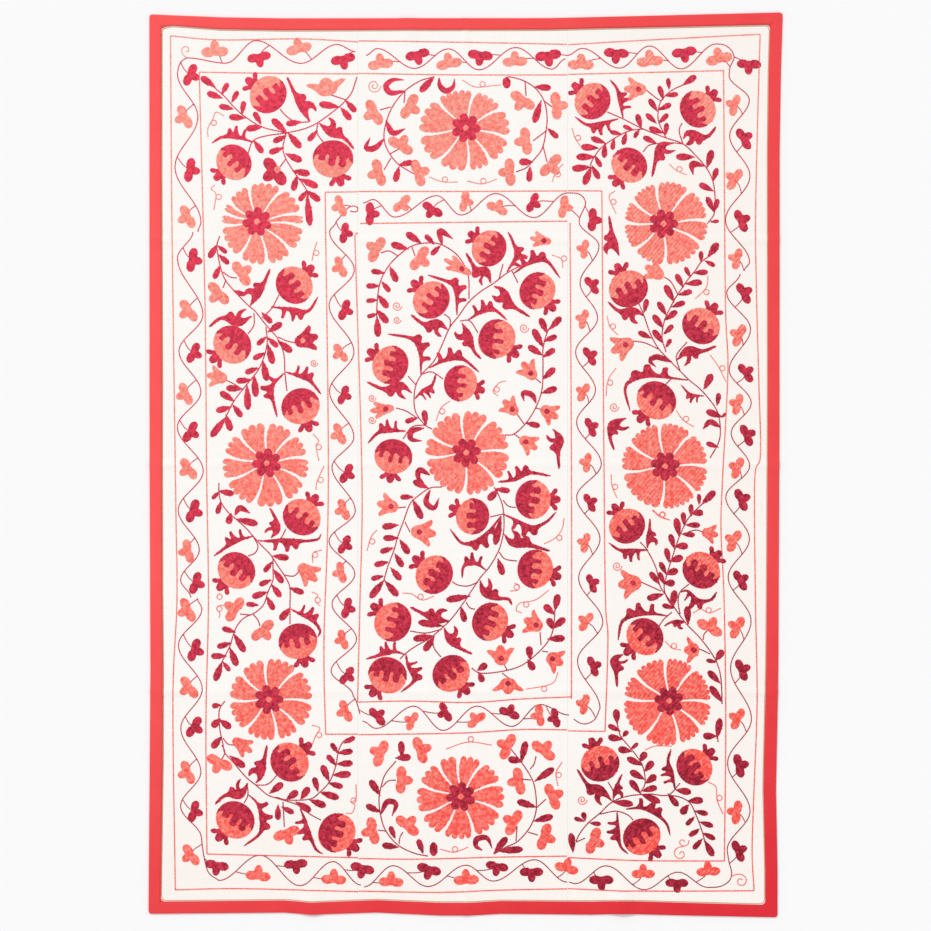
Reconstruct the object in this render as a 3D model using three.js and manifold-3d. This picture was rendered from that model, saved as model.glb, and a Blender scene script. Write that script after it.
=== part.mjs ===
// A suzani: a large cotton cloth of three joined loom widths, embroidered in silk
// and bound with a red cotton strip, lying flat with its face up.
// Millimetres. Seen from above, +X is to the right, +Y is up the cloth and +Z
// comes out of its face. The origin lies under the middle of the cloth's outline,
// on the surface that carries it.

import * as THREE from 'three';
import { mergeVertices } from 'three/addons/utils/BufferGeometryUtils.js';
import Module from 'manifold-3d';

const wasm = await Module();
wasm.setup();

// Driving dimensions of the cloth.
const HALF_WIDTH = 751;
const HALF_LENGTH = 1071.8;
const SEAM = { left: -255, right: 242 };
const GROUND_THICK = 1.2;
const GAP = 0.3;

// The binding is a strip folded over the raw edge, with a leg on each face.
const BINDING_WIDTH = { left: 30, right: 28, top: 28, bottom: 30 };
const BINDING_THICK = 0.9;
const BINDING_FOLD = 1.1;
const BINDING_HEIGHT = 2 * BINDING_THICK + GROUND_THICK + 2 * GAP;
const RAW_EDGE = BINDING_FOLD + GAP;
const CORNER_RADIUS = 7;

// Silk is worked on the ground in a layer that stands a little above it.
const SILK_THICK = 1.0;
const HEART_EXTRA = 0.5;

// From the outline inwards: the cloth rides over the lower leg of the binding as far
// as HEM, is down on the surface at HEM_EASE, and is free of the ruffles at REACH.
const HEM = 34;
const HEM_EASE = 62;
const REACH = 100;
const HEM_LIFT = BINDING_THICK + GAP;

// The outline, as the distance from the middle line of the cloth at each knot.
const OUTLINE = {
  left: [
    { at: -1056, out: 751 },
    { at: -480, out: 746.5 },
    { at: 0, out: 748.5 },
    { at: 1060, out: 749 },
  ],
  right: [
    { at: -960, out: 739 },
    { at: -770, out: 735.5 },
    { at: -480, out: 741 },
    { at: 80, out: 743.5 },
    { at: 740, out: 744 },
    { at: 930, out: 747 },
    { at: 1060, out: 751 },
  ],
  top: [
    { at: -749, out: 1067.3 },
    { at: -580, out: 1060.3 },
    { at: -430, out: 1057.8 },
    { at: 200, out: 1058.3 },
    { at: 450, out: 1064.3 },
    { at: 744, out: 1071.8 },
  ],
  bottom: [
    { at: -751, out: 1063.7 },
    { at: -430, out: 1060.7 },
    { at: -365, out: 1065.7 },
    { at: -210, out: 1060.7 },
    { at: -62, out: 1067.7 },
    { at: 16, out: 1067.7 },
    { at: 84, out: 1063.7 },
    { at: 300, out: 1065.7 },
    { at: 372, out: 1063.7 },
    { at: 525, out: 1067.7 },
    { at: 732, out: 1071.8 },
  ],
};

// Pressed folds, left from storing the cloth folded in four along and in two across.
// They stand EDGE_KICK higher where the binding stiffens the edge.
const FOLD_HALF = 15;
const EDGE_KICK = 0.8;
const FOLDS_ACROSS = [
  { y: 533, height: 1.2 },
  { y: 0, height: 1.4 },
  { y: -538, height: 1.4 },
];
const FOLDS_ALONG = [{ x: 1, height: 1.2 }];

// Soft ruffles where the bound edge is a little longer than the cloth behind it.
const RUFFLES = [
  { side: 'bottom', x: -365, half: 35, height: 4 },
  { side: 'bottom', x: 372, half: 38, height: 6 },
  { side: 'top', x: -136, half: 40, height: 3 },
];

// The nine rosettes. Each has a dark heart at (heartX, heartY), and gaps between
// its petals, as angles in degrees from +X about the heart.
const ROSETTES = [
  { name: 'left_upper', x: -481, y: 571, wide: 96, tall: 96, heartX: -494, heartY: 576,
    gaps: [-174, -117, -76, -40, -5, 11, 52, 103, 145, 165] },
  { name: 'left_middle', x: -474, y: 0, wide: 101, tall: 99, heartX: -471, heartY: 4,
    gaps: [-156, -107, -63, -25, 9, 47, 90, 135, 170] },
  { name: 'left_lower', x: -461, y: -556, wide: 98, tall: 96, heartX: -466, heartY: -556,
    gaps: [-179, -128, -78, -43, -3, 46, 95, 137] },
  { name: 'right_upper', x: 475, y: 572, wide: 98, tall: 98, heartX: 469, heartY: 571,
    gaps: [-138, -88, -27, 5, 52, 100, 143, 178] },
  { name: 'right_middle', x: 472, y: -3, wide: 101, tall: 101, heartX: 473, heartY: -3,
    gaps: [-172, -96, -42, 0, 51, 98, 148] },
  { name: 'right_lower', x: 478, y: -562, wide: 103, tall: 103, heartX: 482, heartY: -559,
    gaps: [-125, -77, -40, -2, 52, 95, 143, 177] },
  { name: 'top', x: -3, y: 792, wide: 107, tall: 95, heartX: 1, heartY: 798,
    gaps: [-172, -130, -87, -53, -13, 29, 77, 136] },
  { name: 'centre', x: 4, y: 28, wide: 99, tall: 99, heartX: 2, heartY: 29,
    gaps: [-173, -93, -43, 2, 55, 97, 155] },
  { name: 'bottom', x: -12, y: -788, wide: 103, tall: 98, heartX: -11, heartY: -786,
    gaps: [-155, -117, -71, -20, 19, 57, 94, 126, 164] },
];

// The pomegranates, with the direction of the crown in degrees from +X.
const POMEGRANATES = [
  { x: -468, y: 877, r: 44, crown: 144 },
  { x: -549, y: 717, r: 42, crown: 222 },
  { x: -314, y: 725, r: 46, crown: -72 },
  { x: -406, y: 426, r: 44, crown: 45 },
  { x: -553, y: 285, r: 45, crown: 218 },
  { x: -391, y: 139, r: 44, crown: -69 },
  { x: -388, y: -124, r: 44, crown: 55 },
  { x: -543, y: -250, r: 44, crown: 226 },
  { x: -397, y: -418, r: 44, crown: -73 },
  { x: -417, y: -704, r: 46, crown: 41 },
  { x: -546, y: -841, r: 45, crown: 228 },
  { x: -305, y: -872, r: 45, crown: -39 },
  { x: 301, y: 862, r: 43, crown: 139 },
  { x: 550, y: 843, r: 43, crown: 44 },
  { x: 388, y: 710, r: 42, crown: 233 },
  { x: 386, y: 417, r: 45, crown: 116 },
  { x: 558, y: 329, r: 44, crown: 55 },
  { x: 452, y: 153, r: 46, crown: 230 },
  { x: 383, y: -145, r: 42, crown: 123 },
  { x: 559, y: -250, r: 44, crown: 44 },
  { x: 425, y: -407, r: 44, crown: 221 },
  { x: 319, y: -708, r: 44, crown: 110 },
  { x: 542, y: -716, r: 43, crown: 42 },
  { x: 418, y: -881, r: 44, crown: -48 },
  { x: 56, y: 513, r: 42, crown: 142 },
  { x: -81, y: 391, r: 44, crown: 136 },
  { x: 170, y: 412, r: 43, crown: -48 },
  { x: 74, y: 298, r: 45, crown: -39 },
  { x: -178, y: 237, r: 44, crown: 147 },
  { x: -12, y: 193, r: 41, crown: -18 },
  { x: -171, y: 20, r: 43, crown: 262 },
  { x: 17, y: -122, r: 41, crown: 157 },
  { x: 160, y: -82, r: 44, crown: 0 },
  { x: -74, y: -260, r: 45, crown: 140 },
  { x: 165, y: -247, r: 44, crown: -18 },
  { x: -172, y: -372, r: 45, crown: 141 },
  { x: 58, y: -372, r: 44, crown: -32 },
  { x: -185, y: -498, r: 44, crown: 231 },
  { x: -34, y: -494, r: 44, crown: -49 },
];

// A rosette's petals end in small lobes, LOBE_ANGLE wide, with notches between them.
// A lobe's shoulders lie at a share of its width, and the rest at shares of the reach.
const PETAL_GAP = 7;
const LOBE_ANGLE = 15;
const LOBE = { shoulderAt: 0.25, shoulder: 0.985, notch: 0.91, corner: 0.955 };
const HEART_RADIUS = 27;
const HEART_LOBES = 7;
const HEART_WAIST = 0.8;

// A pomegranate is a little wider than it is tall along its crown's direction.
const FRUIT_WIDE = 1.04;
const FRUIT_TALL = 0.95;
const FRUIT_STEPS = 15;
const CROWN_HALF_ANGLE = 19;

// Half of the crown's outline, from its root to its tip, in parts of the fruit's radius.
const CROWN = [
  { across: 0.57, out: 1.13 },
  { across: 0.45, out: 1.32 },
  { across: 0.25, out: 1.21 },
  { across: 0.13, out: 1.43 },
];

const cotton = new THREE.MeshStandardMaterial({
  name: 'undyed_cotton', color: 0xf6efe8, roughness: 0.95, metalness: 0 });
const redCotton = new THREE.MeshStandardMaterial({
  name: 'red_cotton', color: 0xe8484c, roughness: 0.85, metalness: 0 });
const coralSilk = new THREE.MeshStandardMaterial({
  name: 'coral_silk', color: 0xf47c68, roughness: 0.6, metalness: 0 });
const crimsonSilk = new THREE.MeshStandardMaterial({
  name: 'crimson_silk', color: 0xb8324c, roughness: 0.6, metalness: 0 });

const suzani = new THREE.Group();
suzani.name = 'suzani';

function addPiece(name, geometry, material) {
  const mesh = new THREE.Mesh(geometry, material);
  mesh.name = name;
  suzani.add(mesh);
}

// The value between two knots of a table, on the straight line between them.
function follow(knots, at) {
  if (at <= knots[0].at) return knots[0].out;
  const next = knots.findIndex((knot) => knot.at >= at);
  if (next < 0) return knots[knots.length - 1].out;
  const [before, after] = [knots[next - 1], knots[next]];
  const share = (at - before.at) / (after.at - before.at);
  return before.out + share * (after.out - before.out);
}

// A line of points across or along the cloth is either a mark, at a place measured
// from the middle, or a hem line, at a depth inside one side of the outline.
const mark = (at) => ({ at, depth: Infinity });

function hemLine(side, depth) {
  const half = side === 'left' || side === 'right' ? HALF_WIDTH : HALF_LENGTH;
  const sign = side === 'left' || side === 'bottom' ? -1 : 1;
  return { at: sign * (half - depth), depth, side, sign };
}

function lineAt(line, crossing) {
  if (!line.side) return line.at;
  return line.sign * (follow(OUTLINE[line.side], crossing.at) - line.depth);
}

// Where two hem lines cross near a corner, the outer one follows the corner's arc.
function crossingPoint(column, row) {
  const x = lineAt(column, row);
  if (column.depth >= CORNER_RADIUS || row.depth >= CORNER_RADIUS) return [x, lineAt(row, column)];
  const arc = (CORNER_RADIUS - row.depth) ** 2 - (CORNER_RADIUS - column.depth) ** 2;
  const depth = CORNER_RADIUS - Math.sqrt(Math.max(0, arc));
  return [x, lineAt({ ...row, depth }, column)];
}

const ramp = (depth, full, none) => THREE.MathUtils.clamp((none - depth) / (none - full), 0, 1);
const tent = (offset, half) => Math.max(0, 1 - Math.abs(offset) / half);
const bell = (offset, half) => (1 + Math.cos(Math.PI * Math.min(1, Math.abs(offset) / half))) / 2;

// The height of the cloth's underside above the surface, from folds and ruffles.
function rise(column, row) {
  let height = 0;
  for (const fold of FOLDS_ACROSS) {
    const kick = 1 + EDGE_KICK * ramp(column.depth, HEM, REACH);
    height += fold.height * tent(row.at - fold.y, FOLD_HALF) * kick;
  }
  for (const fold of FOLDS_ALONG) {
    const kick = 1 + EDGE_KICK * ramp(row.depth, HEM, REACH);
    height += fold.height * tent(column.at - fold.x, FOLD_HALF) * kick;
  }
  for (const ruffle of RUFFLES) {
    if (row.side !== ruffle.side) continue;
    height += ruffle.height * bell(column.at - ruffle.x, ruffle.half) * ramp(row.depth, HEM, REACH);
  }
  return height;
}

const hemRise = (column, row) => HEM_LIFT * ramp(Math.min(column.depth, row.depth), HEM, HEM_EASE);

// A closed sheet over a net of columns and rows, between two heights above its rise.
function sheet(columns, rows, heightOf, low, high) {
  const [across, along] = [columns.length - 1, rows.length - 1];
  const geometry = new THREE.BoxGeometry(1, 1, 1, across, along, 1);
  const place = geometry.attributes.position;
  for (let i = 0; i < place.count; i += 1) {
    const column = columns[Math.round((place.getX(i) + 0.5) * across)];
    const row = rows[Math.round((place.getY(i) + 0.5) * along)];
    const side = place.getZ(i) > 0 ? high : low;
    place.setXYZ(i, ...crossingPoint(column, row), heightOf(column, row) + side);
  }
  return geometry;
}

function solidOf(geometry) {
  geometry.deleteAttribute('normal');
  geometry.deleteAttribute('uv');
  const merged = mergeVertices(geometry);
  return new wasm.Manifold(new wasm.Mesh({
    numProp: 3,
    vertProperties: merged.attributes.position.array,
    triVerts: new Uint32Array(merged.index.array),
  }));
}

function geometryOf(solid) {
  const mesh = solid.getMesh();
  const geometry = new THREE.BufferGeometry();
  geometry.setAttribute('position', new THREE.BufferAttribute(mesh.vertProperties, mesh.numProp));
  geometry.setIndex(new THREE.BufferAttribute(mesh.triVerts, 1));
  geometry.computeVertexNormals();
  return geometry;
}

// The marks of a net: both sides of each fold, five across each ruffle, and each
// knot of the outline, without any that fall within a few millimetres of another.
const MARK_SPACING = 4;

function marksBetween(low, high, places) {
  const marks = [];
  for (const at of places.sort((a, b) => a - b)) {
    const last = marks.length ? marks[marks.length - 1] : low;
    if (at - last >= MARK_SPACING && high - at >= MARK_SPACING) marks.push(at);
  }
  return marks.map(mark);
}

const aroundFold = (at) => [at - FOLD_HALF, at, at + FOLD_HALF];
const aroundRuffle = ({ x, half }) => [-1, -0.5, 0, 0.5, 1].map((step) => x + step * half);

function columnPlaces(sides) {
  const ruffles = RUFFLES.filter((ruffle) => sides.includes(ruffle.side));
  return [
    ...FOLDS_ALONG.flatMap((fold) => aroundFold(fold.x)),
    ...ruffles.flatMap(aroundRuffle),
    ...sides.flatMap((side) => OUTLINE[side].map((knot) => knot.at)),
  ];
}

const rowPlaces = (sides) => [
  ...FOLDS_ACROSS.flatMap((fold) => aroundFold(fold.y)),
  ...sides.flatMap((side) => OUTLINE[side].map((knot) => knot.at)),
];

// Hem lines run from the outline inwards on the low sides, and outwards on the high.
const CORNER_STEPS = [RAW_EDGE, CORNER_RADIUS / 2, CORNER_RADIUS];
const DEEP_STEPS = [HEM, HEM_EASE, REACH];

function hemLines(side, depths) {
  const lines = depths.map((depth) => hemLine(side, depth));
  return lines[0].sign < 0 ? lines : lines.reverse();
}

function columnsBetween(low, high, sides) {
  const lowLines = low === null ? hemLines('left', [...CORNER_STEPS, ...DEEP_STEPS]) : [mark(low)];
  const highLines = high === null ? hemLines('right', [...CORNER_STEPS, ...DEEP_STEPS]) : [mark(high)];
  const inner = marksBetween(lowLines.at(-1).at, highLines[0].at, columnPlaces(sides));
  return [...lowLines, ...inner, ...highLines];
}

function rowsBetween(depths, sides) {
  const [lowLines, highLines] = [hemLines('bottom', depths.bottom), hemLines('top', depths.top)];
  const inner = marksBetween(lowLines.at(-1).at, highLines[0].at, rowPlaces(sides));
  return [...lowLines, ...inner, ...highLines];
}

// The ground: three loom widths, joined edge to edge along the two seams.
const clothRows = { bottom: [RAW_EDGE, ...DEEP_STEPS], top: [RAW_EDGE, ...DEEP_STEPS] };
const PANELS = [
  { name: 'left', low: null, high: SEAM.left - GAP / 2, sides: ['left'] },
  { name: 'centre', low: SEAM.left + GAP / 2, high: SEAM.right - GAP / 2, sides: [] },
  { name: 'right', low: SEAM.right + GAP / 2, high: null, sides: ['right'] },
];
const clothRise = (column, row) => rise(column, row) + hemRise(column, row);

for (const panel of PANELS) {
  panel.columns = columnsBetween(panel.low, panel.high, ['top', 'bottom']);
  panel.rows = rowsBetween(clothRows, panel.sides);
  const ground = sheet(panel.columns, panel.rows, clothRise, 0, GROUND_THICK);
  addPiece(`ground_${panel.name}`, geometryOf(solidOf(ground)), cotton);
}

// The binding: the top and bottom strips run over the whole width and are closed at
// their ends, and the side strips butt against them.
const legs = { low: BINDING_THICK, high: BINDING_HEIGHT - BINDING_THICK };
const SLOT_OVERRUN = 5;

function boundStrip(name, outerNet, slotNet) {
  const body = solidOf(sheet(...outerNet, rise, 0, BINDING_HEIGHT));
  const slot = solidOf(sheet(...slotNet, rise, legs.low, legs.high));
  addPiece(name, geometryOf(body.subtract(slot)), redCotton);
}

for (const side of ['bottom', 'top']) {
  const width = BINDING_WIDTH[side];
  const inner = columnsBetween(null, null, [side]);
  const fold = [hemLine('left', BINDING_FOLD), ...inner, hemLine('right', BINDING_FOLD)];
  const whole = [hemLine('left', 0), ...fold, hemLine('right', 0)];
  boundStrip(`binding_${side}`, [whole, hemLines(side, [0, width])],
    [fold, hemLines(side, [BINDING_FOLD, width + SLOT_OVERRUN])]);
}

const buttAt = (start) => ({
  bottom: [BINDING_WIDTH.bottom + start, ...DEEP_STEPS],
  top: [BINDING_WIDTH.top + start, ...DEEP_STEPS],
});

for (const side of ['left', 'right']) {
  const width = BINDING_WIDTH[side];
  boundStrip(`binding_${side}`, [hemLines(side, [0, width]), rowsBetween(buttAt(GAP), [side])],
    [hemLines(side, [BINDING_FOLD, width + SLOT_OVERRUN]), rowsBetween(buttAt(-SLOT_OVERRUN), [side])]);
}

// Embroidery is worked to an outline, and lies on the ground as a layer of silk that
// follows its folds.
const PRISM_HEIGHT = 20;
const layerBase = GROUND_THICK + GAP;

for (const panel of PANELS) {
  const layer = (extra) => sheet(panel.columns, panel.rows, clothRise, layerBase,
    layerBase + SILK_THICK + extra);
  panel.silk = solidOf(layer(0));
  panel.heartSilk = solidOf(layer(HEART_EXTRA));
}

function workedTo(outline, silk) {
  const geometry = new THREE.ExtrudeGeometry(new THREE.Shape(outline), {
    depth: PRISM_HEIGHT, bevelEnabled: false, steps: 1 });
  return solidOf(geometry).intersect(silk);
}

const panelAt = (x) => PANELS[x < SEAM.left ? 0 : x < SEAM.right ? 1 : 2];
const radians = THREE.MathUtils.degToRad;

// How far the rosette reaches from its heart in one direction: a ray from the heart
// meets the oval that the petals are drawn in.
function petalReach(flower, angle) {
  const [dx, dy] = [Math.cos(angle) / flower.wide, Math.sin(angle) / flower.tall];
  const [fx, fy] = [(flower.heartX - flower.x) / flower.wide, (flower.heartY - flower.y) / flower.tall];
  const a = dx * dx + dy * dy;
  const b = dx * fx + dy * fy;
  return (Math.sqrt(b * b - a * (fx * fx + fy * fy - 1)) - b) / a;
}

function rosetteOutline(flower) {
  const points = [];
  const put = (radius, angle) => points.push(new THREE.Vector2(
    flower.heartX + radius * Math.cos(angle), flower.heartY + radius * Math.sin(angle)));
  flower.gaps.forEach((gap, i) => {
    const from = radians(gap);
    const to = i + 1 < flower.gaps.length
      ? radians(flower.gaps[i + 1]) : radians(flower.gaps[0] + 360);
    const sideAt = (radius) => Math.asin(PETAL_GAP / 2 / radius);
    const [start, end] = [from + sideAt(flower.wide), to - sideAt(flower.wide)];
    const lobes = Math.max(1, Math.round((end - start) / radians(LOBE_ANGLE)));
    const rim = (lobe, share) => {
      const angle = start + (end - start) * lobe / lobes;
      put(petalReach(flower, angle) * share, angle);
    };
    put(HEART_RADIUS * HEART_WAIST, from + sideAt(HEART_RADIUS));
    rim(0, LOBE.corner);
    for (let lobe = 1; lobe < lobes; lobe += 1) {
      rim(lobe - LOBE.shoulderAt, LOBE.shoulder);
      rim(lobe, LOBE.notch);
      rim(lobe + LOBE.shoulderAt, LOBE.shoulder);
    }
    rim(lobes, LOBE.corner);
    put(HEART_RADIUS * HEART_WAIST, to - sideAt(HEART_RADIUS));
  });
  return points;
}

function heartOutline(flower) {
  const points = [];
  for (let i = 0; i < 2 * HEART_LOBES; i += 1) {
    const radius = HEART_RADIUS * (i % 2 ? HEART_WAIST : 1);
    const angle = Math.PI * i / HEART_LOBES;
    points.push(new THREE.Vector2(
      flower.heartX + radius * Math.cos(angle), flower.heartY + radius * Math.sin(angle)));
  }
  return points;
}

for (const flower of ROSETTES) {
  const panel = panelAt(flower.x);
  const petals = workedTo(rosetteOutline(flower), panel.silk);
  const heart = workedTo(heartOutline(flower), panel.heartSilk);
  addPiece(`rosette_${flower.name}`, geometryOf(petals.add(heart)), coralSilk);
}

// The fruit's outline runs round its oval from one root of the crown to the other.
function pomegranateOutline(fruit) {
  const up = new THREE.Vector2(Math.cos(radians(fruit.crown)), Math.sin(radians(fruit.crown)));
  const put = (across, out) => new THREE.Vector2(
    fruit.x + fruit.r * (out * up.x - across * up.y), fruit.y + fruit.r * (out * up.y + across * up.x));
  const points = [];
  for (let i = 0; i <= FRUIT_STEPS; i += 1) {
    const angle = radians(CROWN_HALF_ANGLE + (360 - 2 * CROWN_HALF_ANGLE) * i / FRUIT_STEPS);
    points.push(put(FRUIT_WIDE * Math.sin(angle), FRUIT_TALL * Math.cos(angle)));
  }
  for (const { across, out } of CROWN) points.push(put(-across, out));
  for (const { across, out } of [...CROWN].reverse()) points.push(put(across, out));
  return points;
}

POMEGRANATES.forEach((fruit, i) => {
  const name = `pomegranate_${String(i + 1).padStart(2, '0')}`;
  const silk = workedTo(pomegranateOutline(fruit), panelAt(fruit.x).silk);
  addPiece(name, geometryOf(silk), crimsonSilk);
});

export default suzani;
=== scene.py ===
# %% [markdown]
# # A suzani, dressed in Blender
# The real object is a large bedspread-sized cotton cloth, embroidered in silk and bound
# in red cotton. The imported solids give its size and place. This lesson loads them, then
# replaces each one with cloth, folds and thousands of real stitches.

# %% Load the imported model
import math

import bmesh
import bpy
import numpy as np
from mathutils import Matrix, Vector


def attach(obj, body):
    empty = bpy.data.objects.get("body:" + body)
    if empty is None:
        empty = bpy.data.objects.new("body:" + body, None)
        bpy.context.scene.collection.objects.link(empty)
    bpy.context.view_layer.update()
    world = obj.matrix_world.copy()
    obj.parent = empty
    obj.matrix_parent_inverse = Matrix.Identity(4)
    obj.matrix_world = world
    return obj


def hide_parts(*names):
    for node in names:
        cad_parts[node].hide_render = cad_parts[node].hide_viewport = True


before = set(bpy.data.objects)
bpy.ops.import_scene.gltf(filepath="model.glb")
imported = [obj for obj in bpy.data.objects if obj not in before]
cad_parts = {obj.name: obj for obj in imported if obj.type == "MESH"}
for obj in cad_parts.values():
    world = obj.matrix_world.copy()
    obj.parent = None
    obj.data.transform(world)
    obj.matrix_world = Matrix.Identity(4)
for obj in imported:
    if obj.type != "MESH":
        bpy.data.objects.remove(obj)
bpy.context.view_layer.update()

# %% [markdown]
# ## Places and units
# The drawing was read off the photograph in its own pixels, which is the easiest way to
# note where a leaf lies. One pixel is 2.37 mm of cloth. All shapes are worked out in
# millimetres with Y up the cloth, and turned to metres only when a mesh is made.

# %% From a place in the photograph to millimetres on the cloth
PIXEL = 2.37
MIDDLE = (465.5, 464.8)
MM = 0.001
SEAMS = (-255.0, 242.0)
PHOTO_SIDE = 931
random = np.random.default_rng(seed=18)


def cloth_mm(points):
    spots = np.array(points, float).reshape(-1, 2)
    return (spots - MIDDLE) * (PIXEL, -PIXEL)


def linear(code):
    shares = [int(code[i:i + 2], 16) / 255 for i in (1, 3, 5)]
    done = [s / 12.92 if s <= 0.04045 else ((s + 0.055) / 1.055) ** 2.4 for s in shares]
    return (*done, 1.0)


print("cloth corner of the photograph", cloth_mm((0, 0))[0].round(1))

# %% [markdown]
# ## Camera, light and floor
# The cloth was photographed flat from straight above on a white table, under soft light.
# A long lens far away keeps the sides parallel. A bright dome gives the even white, and
# one soft sun from the upper left draws the relief of the stitches.

# %% Camera straight above the cloth
VIEW_HEIGHT = 6.0
VIEW_BELOW_MIDDLE = 0.00166
FRAME_WIDTH = PHOTO_SIDE * PIXEL * MM
SENSOR = 36
camera = bpy.data.objects.new("camera", bpy.data.cameras.new("camera"))
bpy.context.scene.collection.objects.link(camera)
camera.data.sensor_width = SENSOR
camera.data.lens = SENSOR * VIEW_HEIGHT / FRAME_WIDTH
camera.location = (0, -VIEW_BELOW_MIDDLE, VIEW_HEIGHT)
bpy.context.scene.camera = camera
print("lens", round(camera.data.lens, 1))

# %% Soft light and a plain view transform
bpy.context.scene.view_settings.view_transform = "Standard"
world = bpy.data.worlds.new("soft_dome")
bpy.context.scene.world = world
world.use_nodes = True
dome = world.node_tree.nodes["Background"]
dome.inputs["Color"].default_value = linear("#FFFFFF")
dome.inputs["Strength"].default_value = 0.74
sun = bpy.data.objects.new("sun", bpy.data.lights.new("sun", "SUN"))
bpy.context.scene.collection.objects.link(sun)
sun.data.energy = 1.3
sun.data.angle = math.radians(12)
sun.rotation_euler = (math.radians(-38), math.radians(-34), 0)
print("lights", dome.inputs["Strength"].default_value, sun.data.energy)

# %% [markdown]
# ## Adding nodes
# Every finish below is a small net of nodes. One function adds a node with its settings
# and links, so that a material reads as a list of steps.


# %% One function for every node
def add_node(material, kind, settings=None, inputs=None):
    tree = material.node_tree
    new = tree.nodes.new("ShaderNode" + kind)
    for name, value in (settings or {}).items():
        setattr(new, name, value)
    for name, value in (inputs or {}).items():
        if isinstance(value, bpy.types.NodeSocket):
            tree.links.new(value, new.inputs[name])
        else:
            new.inputs[name].default_value = value
    return new


def new_material(name):
    material = bpy.data.materials.new(name)
    material.use_nodes = True
    return material, material.node_tree.nodes["Principled BSDF"]


def join_nodes(material, source, shader, socket):
    material.node_tree.links.new(source, shader.inputs[socket])


print("node kinds start with ShaderNode")

# %% [markdown]
# ## The floor
# The table is a plain white board. It only has to catch the soft shadow under the edge.

# %% Floor, a hair under the cloth so that the two faces never share a plane
FLOOR_BELOW = 0.0003
floor_mesh = bpy.data.meshes.new("floor")
shell = bmesh.new()
bmesh.ops.create_grid(shell, x_segments=1, y_segments=1, size=8)
shell.to_mesh(floor_mesh)
shell.free()
floor = bpy.data.objects.new("floor", floor_mesh)
bpy.context.scene.collection.objects.link(floor)
floor.location.z = -FLOOR_BELOW
board, board_shader = new_material("matt_white_board")
board_shader.inputs["Base Color"].default_value = linear("#F9F9FA")
board_shader.inputs["Roughness"].default_value = 0.9
floor_mesh.materials.append(board)
print("floor at", floor.location.z)

# %% [markdown]
# ## How the cloth lies
# The cloth has pressed folds across and along it, a raised hem where it rides over the
# binding, and a few ruffles. One height function says how high its underside is at any
# place, and everything sewn on the cloth uses it, so that it all lies together. Faint
# wrinkles come on top, as on any cloth that was stored folded.

# %% The outline of the cloth, in millimetres from its middle lines
OUTLINE = {
    "left": ([-1056, -480, 0, 1060], [751, 746.5, 748.5, 749]),
    "right": ([-960, -770, -480, 80, 740, 930, 1060], [739, 735.5, 741, 743.5, 744, 747, 751]),
    "top": ([-749, -580, -430, 200, 450, 744], [1067.3, 1060.3, 1057.8, 1058.3, 1064.3, 1071.8]),
    "bottom": (
        [-751, -430, -365, -210, -62, 16, 84, 300, 372, 525, 732],
        [1063.7, 1060.7, 1065.7, 1060.7, 1067.7, 1067.7, 1063.7, 1065.7, 1063.7, 1067.7, 1071.8],
    ),
}
GROUND_THICK = 1.2
# The cloth rides HEM_LIFT over the binding's lower leg as far in as HEM, and is down again
# at HEM_EASE. Folds kick up at the edge and ruffles stand there, both calm from REACH on.
HEM, HEM_EASE, REACH = 34, 62, 100
HEM_LIFT, EDGE_KICK = 1.2, 0.8
# A fold is its place and height, a ruffle its side, place, half width and height.
FOLD_HALF = 15
FOLDS_ACROSS = [(533, 1.2), (0, 1.4), (-538, 1.4)]
FOLDS_ALONG = [(1, 1.2)]
RUFFLES = [("bottom", -365, 35, 4), ("bottom", 372, 38, 6), ("top", -136, 40, 3)]


def outline_at(side, at):
    return np.interp(at, *OUTLINE[side])


def depths_at(x, y):
    return {
        "left": outline_at("left", y) + x, "right": outline_at("right", y) - x,
        "bottom": outline_at("bottom", x) + y, "top": outline_at("top", x) - y,
    }


print("outline sides", list(OUTLINE))

# %% The height of the cloth's underside
# A wrinkle is a wave: radians in a millimetre, its direction, its start and half its height.
WRINKLES = [
    (0.042, 0.4, 0.9, 0.10), (0.026, -1.1, 2.1, 0.12), (0.068, 1.9, 0.3, 0.05), (0.018, 0.8, 4.2, 0.13),
]
WRINKLE_BASE = 0.4
WRINKLE_SWAY, SWAY_TURNS = 1.7, 0.006


def ramp(depth, full, none):
    return np.clip((none - depth) / (none - full), 0, 1)


def wrinkle(x, y):
    height = WRINKLE_BASE + 0 * x
    sway = WRINKLE_SWAY * np.sin(SWAY_TURNS * (x - y))
    for turns, angle, start, size in WRINKLES:
        along = x * math.cos(angle) + y * math.sin(angle)
        height = height + size * np.sin(along * turns + start + sway)
    return height


def rise(x, y):
    depth = depths_at(x, y)
    across = 1 + EDGE_KICK * ramp(np.minimum(depth["left"], depth["right"]), HEM, REACH)
    along = 1 + EDGE_KICK * ramp(np.minimum(depth["top"], depth["bottom"]), HEM, REACH)
    height = wrinkle(x, y)
    for middle, peak in FOLDS_ACROSS:
        height = height + peak * across * np.maximum(0, 1 - np.abs(y - middle) / FOLD_HALF)
    for middle, peak in FOLDS_ALONG:
        height = height + peak * along * np.maximum(0, 1 - np.abs(x - middle) / FOLD_HALF)
    for side, middle, half, peak in RUFFLES:
        bell = (1 + np.cos(np.pi * np.minimum(1, np.abs(x - middle) / half))) / 2
        height = height + peak * bell * ramp(depth[side], HEM, REACH)
    return height


def face_height(x, y):
    depth = depths_at(x, y)
    nearest = np.minimum.reduce(list(depth.values()))
    return rise(x, y) + HEM_LIFT * ramp(nearest, HEM, HEM_EASE) + GROUND_THICK


print("height of the face in the middle", round(float(face_height(0.0, 300.0)), 2), "mm")

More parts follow.
